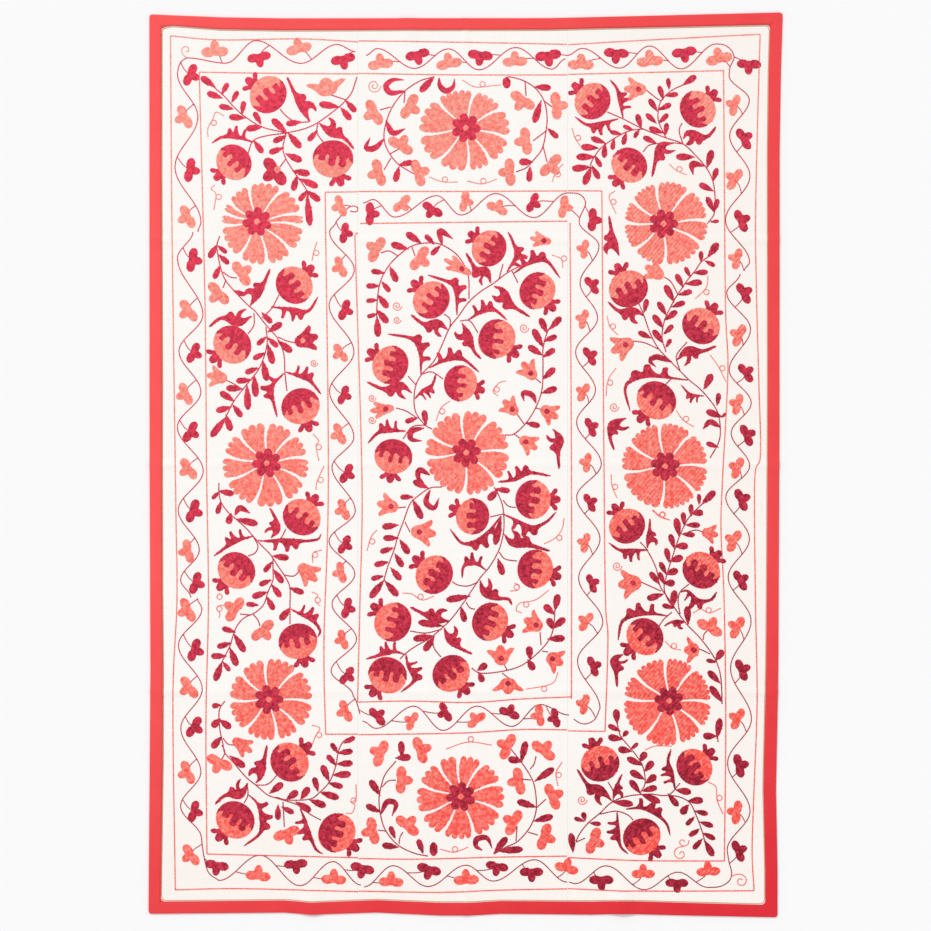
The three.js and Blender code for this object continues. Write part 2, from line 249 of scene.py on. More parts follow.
# %% [markdown]
# ## Undyed cotton
# The ground is handwoven cotton: matt, a warm white, with threads of uneven thickness.
# A thread is about 0.5 mm, too fine to show from here, so the uneven ones are drawn 3 mm
# wide. Towards the bottom and the right edge the cotton is painted a little warmer and
# darker: that is painted shade, where the light falls off from the top left. Soft blotches
# over it are faint stains.

# %% Undyed handwoven cotton
cotton, cotton_shader = new_material("undyed_handwoven_cotton")
place = add_node(cotton, "TexCoord").outputs["Object"]
slub_across = add_node(cotton, "Mapping", None, {"Vector": place, "Scale": (18, 330, 1)})
slub_along = add_node(cotton, "Mapping", None, {"Vector": place, "Scale": (330, 18, 1)})
weft = add_node(cotton, "TexNoise", None, {"Vector": slub_across.outputs[0], "Scale": 1, "Detail": 3})
warp = add_node(cotton, "TexNoise", None, {"Vector": slub_along.outputs[0], "Scale": 1, "Detail": 3})
weave = add_node(cotton, "Math", {"operation": "ADD"}, {0: weft.outputs[0], 1: warp.outputs[0]})
cloud = add_node(cotton, "TexNoise", None, {"Vector": place, "Scale": 3.2, "Detail": 4})
# Painted shade: darker and warmer towards the right edge and the bottom, where the light falls off; the
# cloud noise adds faint stains.
apart = add_node(cotton, "SeparateXYZ", None, {"Vector": place})
aside = add_node(cotton, "MapRange", None, {
    "Value": apart.outputs["X"], "From Min": 0.1, "From Max": 0.75, "To Min": 0, "To Max": 0.6})
down = add_node(cotton, "MapRange", None, {
    "Value": apart.outputs["Y"], "From Min": -0.5, "From Max": -1.07, "To Min": 0, "To Max": 0.55})
painted_falloff_shade = add_node(cotton, "Math", {"operation": "MAXIMUM"}, {0: aside.outputs[0], 1: down.outputs[0]})
stains_and_painted_shade = add_node(cotton, "Math", {"operation": "MULTIPLY_ADD", "use_clamp": True}, {
    0: cloud.outputs[0], 1: 0.35, 2: painted_falloff_shade.outputs[0]})
tint = add_node(cotton, "Mix", {"data_type": "RGBA"}, {
    "Factor": stains_and_painted_shade.outputs[0], "A": linear("#FEFBF8"), "B": linear("#FBF1EA")})
thread_tint = add_node(cotton, "MapRange", None, {
    "Value": weave.outputs[0], "From Min": 0.7, "From Max": 1.3, "To Min": 0.965, "To Max": 1.0})
grey = add_node(cotton, "Mix", {"data_type": "RGBA", "blend_type": "MULTIPLY"}, {
    "Factor": 1.0, "A": tint.outputs["Result"], "B": thread_tint.outputs[0]})
relief = add_node(cotton, "Bump", None, {
    "Height": weave.outputs[0], "Strength": 0.25, "Distance": 0.0006})
join_nodes(cotton, grey.outputs["Result"], cotton_shader, "Base Color")
join_nodes(cotton, relief.outputs[0], cotton_shader, "Normal")
cotton_shader.inputs["Roughness"].default_value = 0.92
cotton_shader.inputs["Specular IOR Level"].default_value = 0.25
cotton_shader.inputs["Sheen Weight"].default_value = 0.1
print("cotton nodes", len(cotton.node_tree.nodes))

# %% [markdown]
# ## Red cotton
# The binding is a plain-woven dyed cotton strip. It is painted a little brighter at the left
# and deeper at the bottom and right: painted shade, where the light falls off from the top
# left. Over that the dye is a little blotchy. It is matt, with fine uneven threads.

# %% Red cotton
red_cotton, red_shader = new_material("dyed_plain_woven_cotton")
red_place = add_node(red_cotton, "TexCoord").outputs["Object"]
# Painted shade: brighter at the left, deeper towards the bottom and the right, where the light falls off;
# the noise is uneven dye.
red_apart = add_node(red_cotton, "SeparateXYZ", None, {"Vector": red_place})
red_shade_aside = add_node(red_cotton, "MapRange", None, {
    "Value": red_apart.outputs["X"], "From Min": -0.75, "From Max": 0.75, "To Min": 0, "To Max": 0.42})
red_shade_down = add_node(red_cotton, "MapRange", None, {
    "Value": red_apart.outputs["Y"], "From Min": -0.25, "From Max": -1.05, "To Min": 0, "To Max": 0.5})
painted_red_shade = add_node(red_cotton, "Math", {"operation": "ADD"}, {
    0: red_shade_aside.outputs[0], 1: red_shade_down.outputs[0]})
red_cloud = add_node(red_cotton, "TexNoise", None, {"Vector": red_place, "Scale": 14, "Detail": 5})
red_dye_and_shade = add_node(red_cotton, "Math", {"operation": "MULTIPLY_ADD", "use_clamp": True}, {
    0: red_cloud.outputs[0], 1: 0.24, 2: painted_red_shade.outputs[0]})
red_tint = add_node(red_cotton, "Mix", {"data_type": "RGBA"}, {
    "Factor": red_dye_and_shade.outputs[0], "A": linear("#FF5F5D"), "B": linear("#DF303B")})
red_fine = add_node(red_cotton, "TexNoise", None, {"Vector": red_place, "Scale": 420, "Detail": 2})
red_relief = add_node(red_cotton, "Bump", None, {
    "Height": red_fine.outputs[0], "Strength": 0.3, "Distance": 0.0005})
join_nodes(red_cotton, red_tint.outputs["Result"], red_shader, "Base Color")
join_nodes(red_cotton, red_relief.outputs[0], red_shader, "Normal")
red_shader.inputs["Roughness"].default_value = 0.85
red_shader.inputs["Specular IOR Level"].default_value = 0.12
red_shader.inputs["Sheen Weight"].default_value = 0.03
print("red cotton nodes", len(red_cotton.node_tree.nodes))

# %% [markdown]
# ## Silk
# The embroidery is floss silk, lightly twisted, laid in short chain stitches.
# Silk has a soft gloss, and its thread was dyed in small lots, so every stitch differs a
# little. Three numbers on the mesh steer one material: thread tells coral from crimson,
# the second tells how deep the colour is at that place, partly from the dye and partly as
# painted shade, lighter at the top left and deeper down and to the right, and tone is
# each stitch's own shade.

# %% Dyed floss silk
CORAL, CRIMSON = 0.0, 1.0
silk, silk_shader = new_material("dyed_floss_silk")
which = add_node(silk, "Attribute", {"attribute_name": "thread"}).outputs["Fac"]
# Painted shade: this attribute holds the depth of colour, partly the dye and partly painted shade, lighter
# at the top left and deeper down and to the right.
dye_and_shade = add_node(silk, "Attribute", {"attribute_name": "dye_and_shade"}).outputs["Fac"]
tone = add_node(silk, "Attribute", {"attribute_name": "tone"}).outputs["Fac"]
silk_place = add_node(silk, "TexCoord")
mottle = add_node(silk, "TexNoise", None, {
    "Vector": silk_place.outputs["Object"], "Scale": 120, "Detail": 3, "Roughness": 0.65})
mottled = add_node(silk, "MapRange", None, {
    "Value": mottle.outputs[0], "From Min": 0.35, "From Max": 0.65, "To Min": -0.28, "To Max": 0.28})
dye_mottle_and_shade = add_node(silk, "Math", {"operation": "ADD", "use_clamp": True}, {0: dye_and_shade, 1: mottled.outputs[0]})
coral = add_node(silk, "Mix", {"data_type": "RGBA"}, {
    "Factor": dye_mottle_and_shade.outputs[0], "A": linear("#FCAD9C"), "B": linear("#FA4A41")})
crimson = add_node(silk, "Mix", {"data_type": "RGBA"}, {
    "Factor": dye_mottle_and_shade.outputs[0], "A": linear("#F5405C"), "B": linear("#8A0824")})
dyed = add_node(silk, "Mix", {"data_type": "RGBA"}, {
    "Factor": which, "A": coral.outputs["Result"], "B": crimson.outputs["Result"]})
shade = add_node(silk, "HueSaturation", None, {"Color": dyed.outputs["Result"], "Value": tone})
strands = add_node(silk, "TexWave", {"bands_direction": "X"}, {
    "Vector": silk_place.outputs["UV"], "Scale": 0.9, "Distortion": 1.2, "Detail": 1})
silk_relief = add_node(silk, "Bump", None, {
    "Height": strands.outputs["Fac"], "Strength": 0.2, "Distance": 0.0002})
join_nodes(silk, shade.outputs["Color"], silk_shader, "Base Color")
join_nodes(silk, silk_relief.outputs[0], silk_shader, "Normal")
silk_shader.inputs["Roughness"].default_value = 0.55
silk_shader.inputs["Specular IOR Level"].default_value = 0.22
silk_shader.inputs["Sheen Weight"].default_value = 0.04
print("silk nodes", len(silk.node_tree.nodes))

# %% [markdown]
# ## The ground
# Three loom widths lie edge to edge. Each is a fine grid, cut along the fold lines so that
# the creases stay sharp, moved to the outline, raised to the height of the cloth, and
# thickened by a Solidify modifier. A simulation would only undo the pressed folds.

# %% Helpers that make and thicken an object, and cut a mesh along straight lines
ALONG_X, ALONG_Y = (1, 0, 0), (0, 1, 0)


def new_object(name, mesh, material, slot, *nodes):
    mesh.materials.append(material)
    made = bpy.data.objects.new(name, mesh)
    bpy.context.scene.collection.objects.link(made)
    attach(made, "root")
    if nodes:
        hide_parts(*nodes)
    return made


def smooth_mesh(shell, name):
    mesh = bpy.data.meshes.new(name)
    shell.to_mesh(mesh)
    shell.free()
    for face in mesh.polygons:
        face.use_smooth = True
    return mesh


def thicken(piece, thickness, offset):
    layer = piece.modifiers.new("thickness", "SOLIDIFY")
    layer.thickness = thickness * MM
    layer.offset = offset


def cut_at(shell, at, axis):
    whole = [*shell.verts, *shell.edges, *shell.faces]
    bmesh.ops.bisect_plane(shell, geom=whole, dist=1e-4, plane_co=Vector(axis) * at, plane_no=axis)


def cut_at_folds(shell):
    places = [(at + step, ALONG_Y) for at, _ in FOLDS_ACROSS for step in (-FOLD_HALF, 0, FOLD_HALF)]
    places += [(at + step, ALONG_X) for at, _ in FOLDS_ALONG for step in (-FOLD_HALF, 0, FOLD_HALF)]
    reach = {axis: [v.co.dot(Vector(axis)) for v in shell.verts] for axis in (ALONG_X, ALONG_Y)}
    for at, axis in places:
        if min(reach[axis]) < at < max(reach[axis]):
            cut_at(shell, at, axis)


print("fold lines", len(FOLDS_ACROSS) + len(FOLDS_ALONG))

# %% The three panels of the ground
# The raw edge stops short of the fold of the binding. A narrow column of faces beside each
# seam keeps the edge of a width crisp. Beyond STEADY the grid is stretched to the outline.
GRID = 13
RAW_EDGE = 1.4
SEAM_GAP = 0.06
EDGE_TURN = 0.9
WIDE, LONG = 751, 1071.8
STEADY = {"x": 690, "y": 1000}
PANELS = [
    ("left", -WIDE, SEAMS[0] - SEAM_GAP / 2),
    ("centre", SEAMS[0] + SEAM_GAP / 2, SEAMS[1] - SEAM_GAP / 2),
    ("right", SEAMS[1] + SEAM_GAP / 2, WIDE),
]


def to_outline(value, steady, full, edge):
    beyond = max(0.0, abs(value) - steady) / (full - steady)
    moved = min(abs(value), steady) + beyond * (edge - RAW_EDGE - steady)
    return math.copysign(moved, value)


def ground_panel(name, low, high):
    shell = bmesh.new()
    columns, rows = round((high - low) / GRID), round(2 * LONG / GRID)
    bmesh.ops.create_grid(shell, x_segments=columns, y_segments=rows, size=0.5)
    bmesh.ops.scale(shell, verts=shell.verts, vec=(high - low, 2 * LONG, 1))
    bmesh.ops.translate(shell, verts=shell.verts, vec=((low + high) / 2, 0, 0))
    for at in (low + EDGE_TURN, high - EDGE_TURN):
        cut_at(shell, at, ALONG_X)
    cut_at_folds(shell)
    for v in shell.verts:
        x, y = v.co.x, v.co.y
        v.co.x = to_outline(x, STEADY["x"], WIDE, outline_at("left" if x < 0 else "right", y))
        v.co.y = to_outline(y, STEADY["y"], LONG, outline_at("bottom" if y < 0 else "top", x))
    spots = np.array([v.co[:2] for v in shell.verts])
    for v, height in zip(shell.verts, face_height(spots[:, 0], spots[:, 1])):
        v.co.z = height
    area = sum(f.calc_area() for f in shell.faces) * MM * MM
    bmesh.ops.scale(shell, verts=shell.verts, vec=(MM, MM, MM))
    return smooth_mesh(shell, name), area


for name, low, high in PANELS:
    mesh, area = ground_panel("ground_" + name, low, high)
    panel = new_object("cloth_" + name, mesh, cotton, "undyed_cotton", "ground_" + name)
    thicken(panel, GROUND_THICK, -1)
    print(panel.name, "area", round(area, 4))

# %% [markdown]
# ## The binding
# A straight strip of red cotton is folded over the raw edge, so its section is a U. A grid
# is bent to that section: its rows run round the U and its columns along the side. The
# corner is a little round, as on the real cloth. How the strips meet there doesn't show in
# the photograph, so their ends are simply mitred.

# %% The section of the binding, and its visible width along each side
# Both legs of the U lie at the heights in LEG. CORNER rounds the outer corner and
# INNER_ROUND the inner one.
BINDING_THICK = 0.9
LEG = {"low": BINDING_THICK / 2, "high": 3.15}
FOLD_RADIUS = 1.35
CORNER, CORNER_WIDTH, INNER_ROUND = 7, 29, 10
VISIBLE = {
    "left": ([-1030, -700, -300, 200, 700, 1030], [29, 31, 29, 30, 28.5, 29]),
    "right": ([-1030, -700, -300, 200, 700, 1030], [29, 30, 28, 27.5, 28, 29]),
    "top": ([-715, -693, -582, -200, 300, 710], [29, 25, 28.9, 28, 27.5, 29]),
    "bottom": ([-715, -350, 0, 360, 710], [29, 29, 30.5, 31, 29]),
}
# A step of the section is a share of the width along a leg, or degrees round the fold.
SECTION = [(1.0, "low"), (0.66, "low"), (0.33, "low"), (0.1, "low"),
           (None, -60), (None, -30), (None, 0), (None, 30), (None, 60),
           (0.1, "high"), (0.3, "high"), (0.55, "high"), (0.8, "high"), (1.0, "high")]


def section_point(step, width):
    share, level = SECTION[step]
    if share is not None:
        return share * width, LEG[level]
    turn = math.radians(level)
    middle = (LEG["low"] + LEG["high"]) / 2
    depth = BINDING_THICK / 2 + FOLD_RADIUS * (1 - math.cos(turn))
    return depth, middle + FOLD_RADIUS * math.sin(turn)


print("section steps", len(SECTION))


# %% A strip of binding along one side
# A run is measured along the side from its low end. The inner edge has a run of its own,
# shorter by the mitres, and tells how wide the strip is there.
def strip_point(side, share, step):
    sign = -1 if side in ("left", "bottom") else 1
    upright = side in ("left", "right")
    low_side, high_side = ("bottom", "top") if upright else ("left", "right")
    half_low = float(outline_at(low_side, sign * (WIDE if upright else LONG)))
    half_high = float(outline_at(high_side, sign * (WIDE if upright else LONG)))
    whole = half_low + half_high
    inner = CORNER_WIDTH + INNER_ROUND * (1 - math.sqrt(0.5))
    inner_run = inner + share * (whole - 2 * inner)
    width = float(np.interp(inner_run - half_low, *VISIBLE[side]))
    within = INNER_ROUND + CORNER_WIDTH - min(inner_run, whole - inner_run)
    if within > 0:
        width = CORNER_WIDTH + INNER_ROUND - math.sqrt(INNER_ROUND ** 2 - within ** 2)
    depth, height = section_point(step, width)
    full = section_point(step, inner)[0]
    mitre = full if full >= CORNER else CORNER - (CORNER - full) / math.sqrt(2)
    run = -half_low + mitre + share * (whole - 2 * mitre)
    to_end = min(run + half_low, half_high - run)
    if depth < CORNER and to_end < CORNER:
        arc = (CORNER - depth) ** 2 - (CORNER - to_end) ** 2
        depth = CORNER - math.sqrt(max(0.0, arc))
    out = sign * (float(outline_at(side, run)) - depth)
    return (out, run, height) if upright else (run, out, height)


# The columns of the grid crowd together near the corners, where the strip turns round.
CORNER_STEPS = ([0, 0.01, 0.06, 0.94, 0.99, 1], [0, 0.0008, 0.02, 0.98, 0.9992, 1])
STRIP_GRID = 9


def binding_strip(side):
    length = 2 * (LONG if side in ("left", "right") else WIDE)
    columns, steps = round(length / STRIP_GRID), len(SECTION) - 1
    shell = bmesh.new()
    bmesh.ops.create_grid(shell, x_segments=columns, y_segments=steps, size=0.5)
    spots = []
    for v in shell.verts:
        share = np.interp(v.co.x + 0.5, *CORNER_STEPS)
        spots.append(strip_point(side, share, round((v.co.y + 0.5) * steps)))
    spots = np.array(spots)
    lift = rise(spots[:, 0], spots[:, 1])
    for v, (x, y, z), up in zip(shell.verts, spots, lift):
        v.co = (x * MM, y * MM, (z + up) * MM)
    bmesh.ops.recalc_face_normals(shell, faces=shell.faces)
    return smooth_mesh(shell, "binding_" + side)


for side in OUTLINE:
    mesh = binding_strip(side)
    strip = new_object("edge_" + side, mesh, red_cotton, "red_cotton", "binding_" + side)
    thicken(strip, BINDING_THICK, 0)
    area = sum(face.area for face in mesh.polygons)
    print(strip.name, "area", round(area, 4))

# %% [markdown]
# ## One stitch
# A stitch of floss silk is a soft little cushion. It starts as a sphere of 6 sides and 2
# rings, only 12 faces, because it is repeated tens of thousands of times. Its points are
# kept as an array, and whole fields of stitches are laid by arithmetic on that array.

# %% The shape of one stitch
shell = bmesh.new()
bmesh.ops.create_uvsphere(shell, u_segments=6, v_segments=2, radius=1)
shell.verts.ensure_lookup_table()
STITCH = np.array([v.co for v in shell.verts])
STITCH_RING = np.abs(STITCH[:, 2]) < 0.5
STITCH_FACES = np.array([[v.index for v in f.verts] for f in shell.faces])
shell.free()
STITCH_HALF_HIGH = 0.38
SILK_BASE = 0.5
print("stitch", STITCH.shape, STITCH_FACES.shape)

# %% [markdown]
# ## Laying silk
# A motif is a flat patch of silk with rows of stitches over it. The patch keeps the ground
# from showing between the rows. Rows run along the motif in the left and middle widths.
# In the right width they run at a slant through everything, as on the real cloth, where
# another hand worked.


# %% Work on one piece: its patches and its stitches
# STITCH_SPREAD is how much the tone differs from stitch to stitch. Shorter spans and
# stitches than these, in millimetres, are left out.
STITCH_SPREAD = 0.1
SHORTEST_SPAN, SHORTEST_STITCH = 0.8, 1.0


class Needlework:
    def __init__(self):
        self.patches = []
        self.stitches = []

    def stitch(self, x, y, angle, half_long, half_wide, thread, tone, lift):
        self.stitches.append((x, y, angle, half_long, half_wide, thread, tone, lift))


def varied(spread):
    return 1 + spread * (random.random() - 0.5)


def crossings(outline, level):
    here, there = outline, np.roll(outline, -1, axis=0)
    across = (here[:, 1] <= level) != (there[:, 1] <= level)
    a, b = here[across], there[across]
    spots = a[:, 0] + (level - a[:, 1]) * (b[:, 0] - a[:, 0]) / (b[:, 1] - a[:, 1])
    spots = np.sort(spots)
    return list(zip(spots[0::2], spots[1::2]))


def without_spans(spans, holes):
    for low, high in holes:
        kept = []
        for a, b in spans:
            kept += [(a, min(b, low)), (max(a, high), b)]
        spans = [(a, b) for a, b in kept if b - a > SHORTEST_SPAN]
    return spans


print("a row of 30 mm with a hole in it", without_spans([(0, 30)], [(10, 18)]))

# %% Fill an outline with rows of stitches
# Each kind of row has its pitch and half the width of its stitches. Of the slanted rows
# every second one is lighter. A stitch is STEP long and overlaps the next one a little.
ROW, ROW_HALF_WIDE = 3.3, 1.75
SLANT_ROW, SLANT_HALF_WIDE = 3.8, 2.0
SLANT = math.radians(50)
SLANT_TONES = (0.9, 1.08)
STEP = 7.0
ROW_OVERLAP, CHAIN_OVERLAP = 0.56, 0.58


def fill(work, outline, angle, thread, tone=1.0, holes=(), lift=0.0):
    work.patches.append((outline, thread, tone, lift))
    slanted = outline[:, 0].mean() > SEAMS[1]
    angle, pitch = (SLANT, SLANT_ROW) if slanted else (angle, ROW)
    c, s = math.cos(angle), math.sin(angle)
    frame_of = np.array([[c, -s], [s, c]])
    here = outline @ frame_of
    pierced = [hole @ frame_of for hole in holes]
    low, high = here[:, 1].min(), here[:, 1].max()
    if slanted:
        levels = [k * pitch for k in range(math.ceil(low / pitch), math.floor(high / pitch) + 1)]
    else:
        count = max(1, round((high - low) / pitch))
        levels = [low + (i + 0.5) * (high - low) / count for i in range(count)]
    for level in levels:
        spans = crossings(here, level)
        for hole in pierced:
            spans = without_spans(spans, crossings(hole, level))
        row_tone = tone * SLANT_TONES[round(level / pitch) % 2] if slanted else tone
        for a, b in spans:
            lay_row(work, a, b, level, angle, thread, row_tone, lift, slanted)


def lay_row(work, a, b, level, angle, thread, tone, lift, slanted):
    c, s = math.cos(angle), math.sin(angle)
    half_wide = SLANT_HALF_WIDE if slanted else ROW_HALF_WIDE
    start = a - STEP * random.random()
    edges = np.clip(np.append(np.arange(start, b, STEP), b), a, b)
    for first, last in zip(edges[:-1], edges[1:]):
        if last - first < SHORTEST_STITCH:
            continue
        middle = (first + last) / 2
        work.stitch(middle * c - level * s, middle * s + level * c, angle,
                    (last - first) * ROW_OVERLAP, half_wide, thread, tone * varied(STITCH_SPREAD), lift)


print("row pitch", ROW, "mm")


# %% A single line of chain stitch
# The line is a smooth curve through the noted points. It lies a little lower than a patch.
CHAIN_STEP, CHAIN_LIFT = 5.2, -0.2


def smooth_line(points, parts=8):
    spots = np.array(points, float)
    if len(spots) < 3:
        return spots
    ends = np.vstack([2 * spots[0] - spots[1], spots, 2 * spots[-1] - spots[-2]])
    made = []
    for p0, p1, p2, p3 in zip(ends[:-3], ends[1:-2], ends[2:-1], ends[3:]):
        for t in np.arange(parts) / parts:
            made.append(0.5 * (2 * p1 + (p2 - p0) * t + (2 * p0 - 5 * p1 + 4 * p2 - p3) * t * t
                               + (3 * p1 - p0 - 3 * p2 + p3) * t ** 3))
    return np.vstack([made, spots[-1]])


def along_line(line, step):
    lengths = np.hypot(*np.diff(line, axis=0).T)
    total = lengths.sum()
    marks = np.linspace(0, total, max(2, round(total / step) + 1))
    run = np.concatenate([[0], np.cumsum(lengths)])
    return np.column_stack([np.interp(marks, run, line[:, 0]), np.interp(marks, run, line[:, 1])])


def chain(work, line, half_wide, thread, tone=1.0, step=CHAIN_STEP):
    spots = along_line(np.array(line), step)
    for (x0, y0), (x1, y1) in zip(spots[:-1], spots[1:]):
        angle, length = math.atan2(y1 - y0, x1 - x0), math.hypot(x1 - x0, y1 - y0)
        work.stitch((x0 + x1) / 2, (y0 + y1) / 2, angle, length * CHAIN_OVERLAP,
                    half_wide, thread, tone * varied(STITCH_SPREAD), CHAIN_LIFT)


print("a bend noted by 3 points gets", len(smooth_line([(0, 0), (10, 5), (20, 0)])), "points")

# %% [markdown]
# ## From work to a mesh
# Patches are many-sided faces: bmesh makes them, cuts them into triangles and along the
# folds, and extrudes them to a thin layer. The stitches join the same mesh as arrays. All
# points are then raised to the height of the cloth under them.


# %% Patches as one thin layer
# A patch is cut in squares of PATCH_GRID, so that it bends with the cloth, and its underside
# stays PATCH_FOOT above the ground.
PATCH_GRID = 36
PATCH_FOOT = 0.06


def cut_in_squares(shell):
    for axis in (ALONG_X, ALONG_Y):
        reach = [v.co.dot(Vector(axis)) for v in shell.verts]
        low, high = min(reach) / PATCH_GRID, max(reach) / PATCH_GRID
        for at in range(math.ceil(low), math.ceil(high)):
            cut_at(shell, at * PATCH_GRID, axis)


def patch_arrays(patches):
    shell = bmesh.new()
    own = {name: shell.verts.layers.float.new(name) for name in ("thread", "tone", "lift")}
    for outline, thread, tone, lift in patches:
        verts = [shell.verts.new((x, y, 0)) for x, y in outline]
        for v in verts:
            v[own["thread"]], v[own["tone"]], v[own["lift"]] = thread, tone, lift
        shell.faces.new(verts)
    shell.normal_update()
    bmesh.ops.triangulate(shell, faces=shell.faces[:], ngon_method="EAR_CLIP")
    cut_at_folds(shell)
    cut_in_squares(shell)
    made = bmesh.ops.extrude_face_region(shell, geom=shell.faces[:])
    tops = [g for g in made["geom"] if isinstance(g, bmesh.types.BMVert)]
    bmesh.ops.translate(shell, verts=tops, vec=(0, 0, 1))
    bmesh.ops.recalc_face_normals(shell, faces=shell.faces)
    bmesh.ops.triangulate(shell, faces=shell.faces[:])
    shell.verts.index_update()
    spots = np.array([v.co for v in shell.verts])
    values = np.array([[v[own["thread"]], v[own["tone"]], v[own["lift"]]] for v in shell.verts])
    faces = np.array([[v.index for v in f.verts] for f in shell.faces])
    shell.free()
    spots[:, 2] = PATCH_FOOT + spots[:, 2] * (SILK_BASE - PATCH_FOOT + values[:, 2])
    return spots, faces, values[:, 0], values[:, 1]


print("patch layer up to", SILK_BASE, "mm")


# %% Stitches as arrays, and the depth of colour at a place: dye with painted shade
DYE_UNEVEN = 0.36
# Depth of colour at the top left, and how much it gains down to the foot and over to the
# right: partly the dye, partly painted shade where the light falls off from the top left.
CORAL_DYE_AND_SHADE = (0.2, 0.52, 0.2)
CRIMSON_DYE_AND_SHADE = (0.14, 0.5, 0.3)


def stitch_arrays(stitches):
    x, y, angle, long, wide, thread, tone, lift = np.array(stitches).T[:, :, None]
    sx, sy, sz = STITCH.T[:, None, :]
    spots = np.stack([
        x + np.cos(angle) * long * sx - np.sin(angle) * wide * sy,
        y + np.sin(angle) * long * sx + np.cos(angle) * wide * sy,
        SILK_BASE + lift + STITCH_HALF_HIGH * sz + 0 * x,
    ], axis=2).reshape(-1, 3)
    count, size = len(stitches), len(STITCH)
    faces = (STITCH_FACES[None] + size * np.arange(count)[:, None, None]).reshape(-1, 3)
    flat_uv = np.stack([wide * sy, long * sx], axis=2).reshape(-1, 2)
    each = np.ones((1, size))
    uneven = DYE_UNEVEN * (random.random((count, 1)) - 0.5) * each
    return spots, faces, (thread * each).ravel(), (tone * each).ravel(), flat_uv, uneven.ravel()


# Depth of colour at a place: partly the dye, partly painted shade falling off from the top left.
def dye_and_painted_shade(x, y, thread):
    down, aside = (LONG - y) / (2 * LONG), (x + WIDE) / (2 * WIDE)
    light, dark = (first + foot * down + right * aside for first, foot, right in (CORAL_DYE_AND_SHADE, CRIMSON_DYE_AND_SHADE))
    return np.where(thread > 0.5, dark, light)


print("dye at the top left", round(float(dye_and_painted_shade(-700, 1000, CORAL)), 2))


# %% Sew: one object from its patches and stitches
def sew(name, work, slot, *nodes, material=silk):
    spots, faces, thread, tone = np.zeros((0, 3)), np.zeros((0, 3), int), np.zeros(0), np.zeros(0)
    if work.patches:
        spots, faces, thread, tone = patch_arrays(work.patches)
    uv = spots[:, :2] / 2
    flat_spots, flat_faces = len(spots), len(faces)
    laid, laid_faces, laid_thread, laid_tone, laid_uv, uneven = stitch_arrays(work.stitches)
    uneven = np.concatenate([np.zeros(flat_spots), uneven])
    faces = np.vstack([faces, laid_faces + flat_spots])
    spots = np.vstack([spots, laid])
    thread, tone = np.concatenate([thread, laid_thread]), np.concatenate([tone, laid_tone])
    uv = np.vstack([uv, laid_uv])
    # Painted shade over the dye, with each stitch's own uneven dye added.
    dye_shade_level = dye_and_painted_shade(spots[:, 0], spots[:, 1], thread) + uneven
    spots[:, 2] += face_height(spots[:, 0], spots[:, 1])
    mesh = bpy.data.meshes.new(name)
    mesh.vertices.add(len(spots))
    mesh.vertices.foreach_set("co", (spots * MM).ravel())
    mesh.loops.add(faces.size)
    mesh.loops.foreach_set("vertex_index", faces.ravel())
    mesh.polygons.add(len(faces))
    mesh.polygons.foreach_set("loop_start", np.arange(0, faces.size, 3))
    mesh.polygons.foreach_set("use_smooth", np.arange(len(faces)) >= flat_faces)
    mesh.update(calc_edges=True)
    ring = np.concatenate([np.zeros(flat_spots, bool), np.tile(STITCH_RING, len(work.stitches))])
    ends = np.empty(2 * len(mesh.edges), np.int32)
    mesh.edges.foreach_get("vertices", ends)
    sharp = ring[ends.reshape(-1, 2)].all(axis=1)
    mesh.attributes.new("sharp_edge", "BOOLEAN", "EDGE").data.foreach_set("value", sharp)
    for label, values in (("thread", thread), ("tone", tone), ("dye_and_shade", dye_shade_level)):
        mesh.attributes.new(label, "FLOAT", "POINT").data.foreach_set("value", values.astype(np.float32))
    corners = uv[faces.ravel()].astype(np.float32)
    mesh.uv_layers.new(name="stitch").data.foreach_set("uv", corners.ravel())
    new_object(name, mesh, material, slot, *nodes)
    print(name, len(work.stitches), "stitches,", len(faces), "triangles")


print("points round a stitch that keep a sharp ridge", int(STITCH_RING.sum()))

# %% [markdown]
# ## A shade line along the binding
# Where the edge of the binding meets the ground, a fine tan line of shade runs all round the
# ground. It is painted shade, laid as a chain of tan stitches just inside that edge. Its own
# material takes no notice of the thread number that a chain asks for.

# %% The painted shade line along the binding's edge
edge_shade_paint, edge_shade_shader = new_material("painted_edge_shade_line")
# Painted shade: the tan colour stands in for the shade where the binding's edge meets the ground.
edge_shade_shader.inputs["Base Color"].default_value = linear("#C99D66")
edge_shade_shader.inputs["Roughness"].default_value = 0.8
SHADE_LINE_HALF_WIDE = 1.1
SHADE_LINE_INSET = 1.6
edge_shade_work = Needlework()
for side in OUTLINE:
    edge = [strip_point(side, share, len(SECTION) - 1)[:2] for share in np.linspace(0, 1, 240)]
    chain(edge_shade_work, np.array(edge) * (1 - SHADE_LINE_INSET / WIDE), SHADE_LINE_HALF_WIDE, CORAL)
sew("binding_edge_painted_shade", edge_shade_work, "undyed_cotton", material=edge_shade_paint)

# %% [markdown]
# ## Rosettes
# Nine large rosettes carry the design. Each has petals of unequal width with a scalloped
# rim, narrow gaps of bare ground that bend a little, and a dark heart with a coral dot.
# The angles of the gaps are the ones the solids use, so that piece and solid agree.

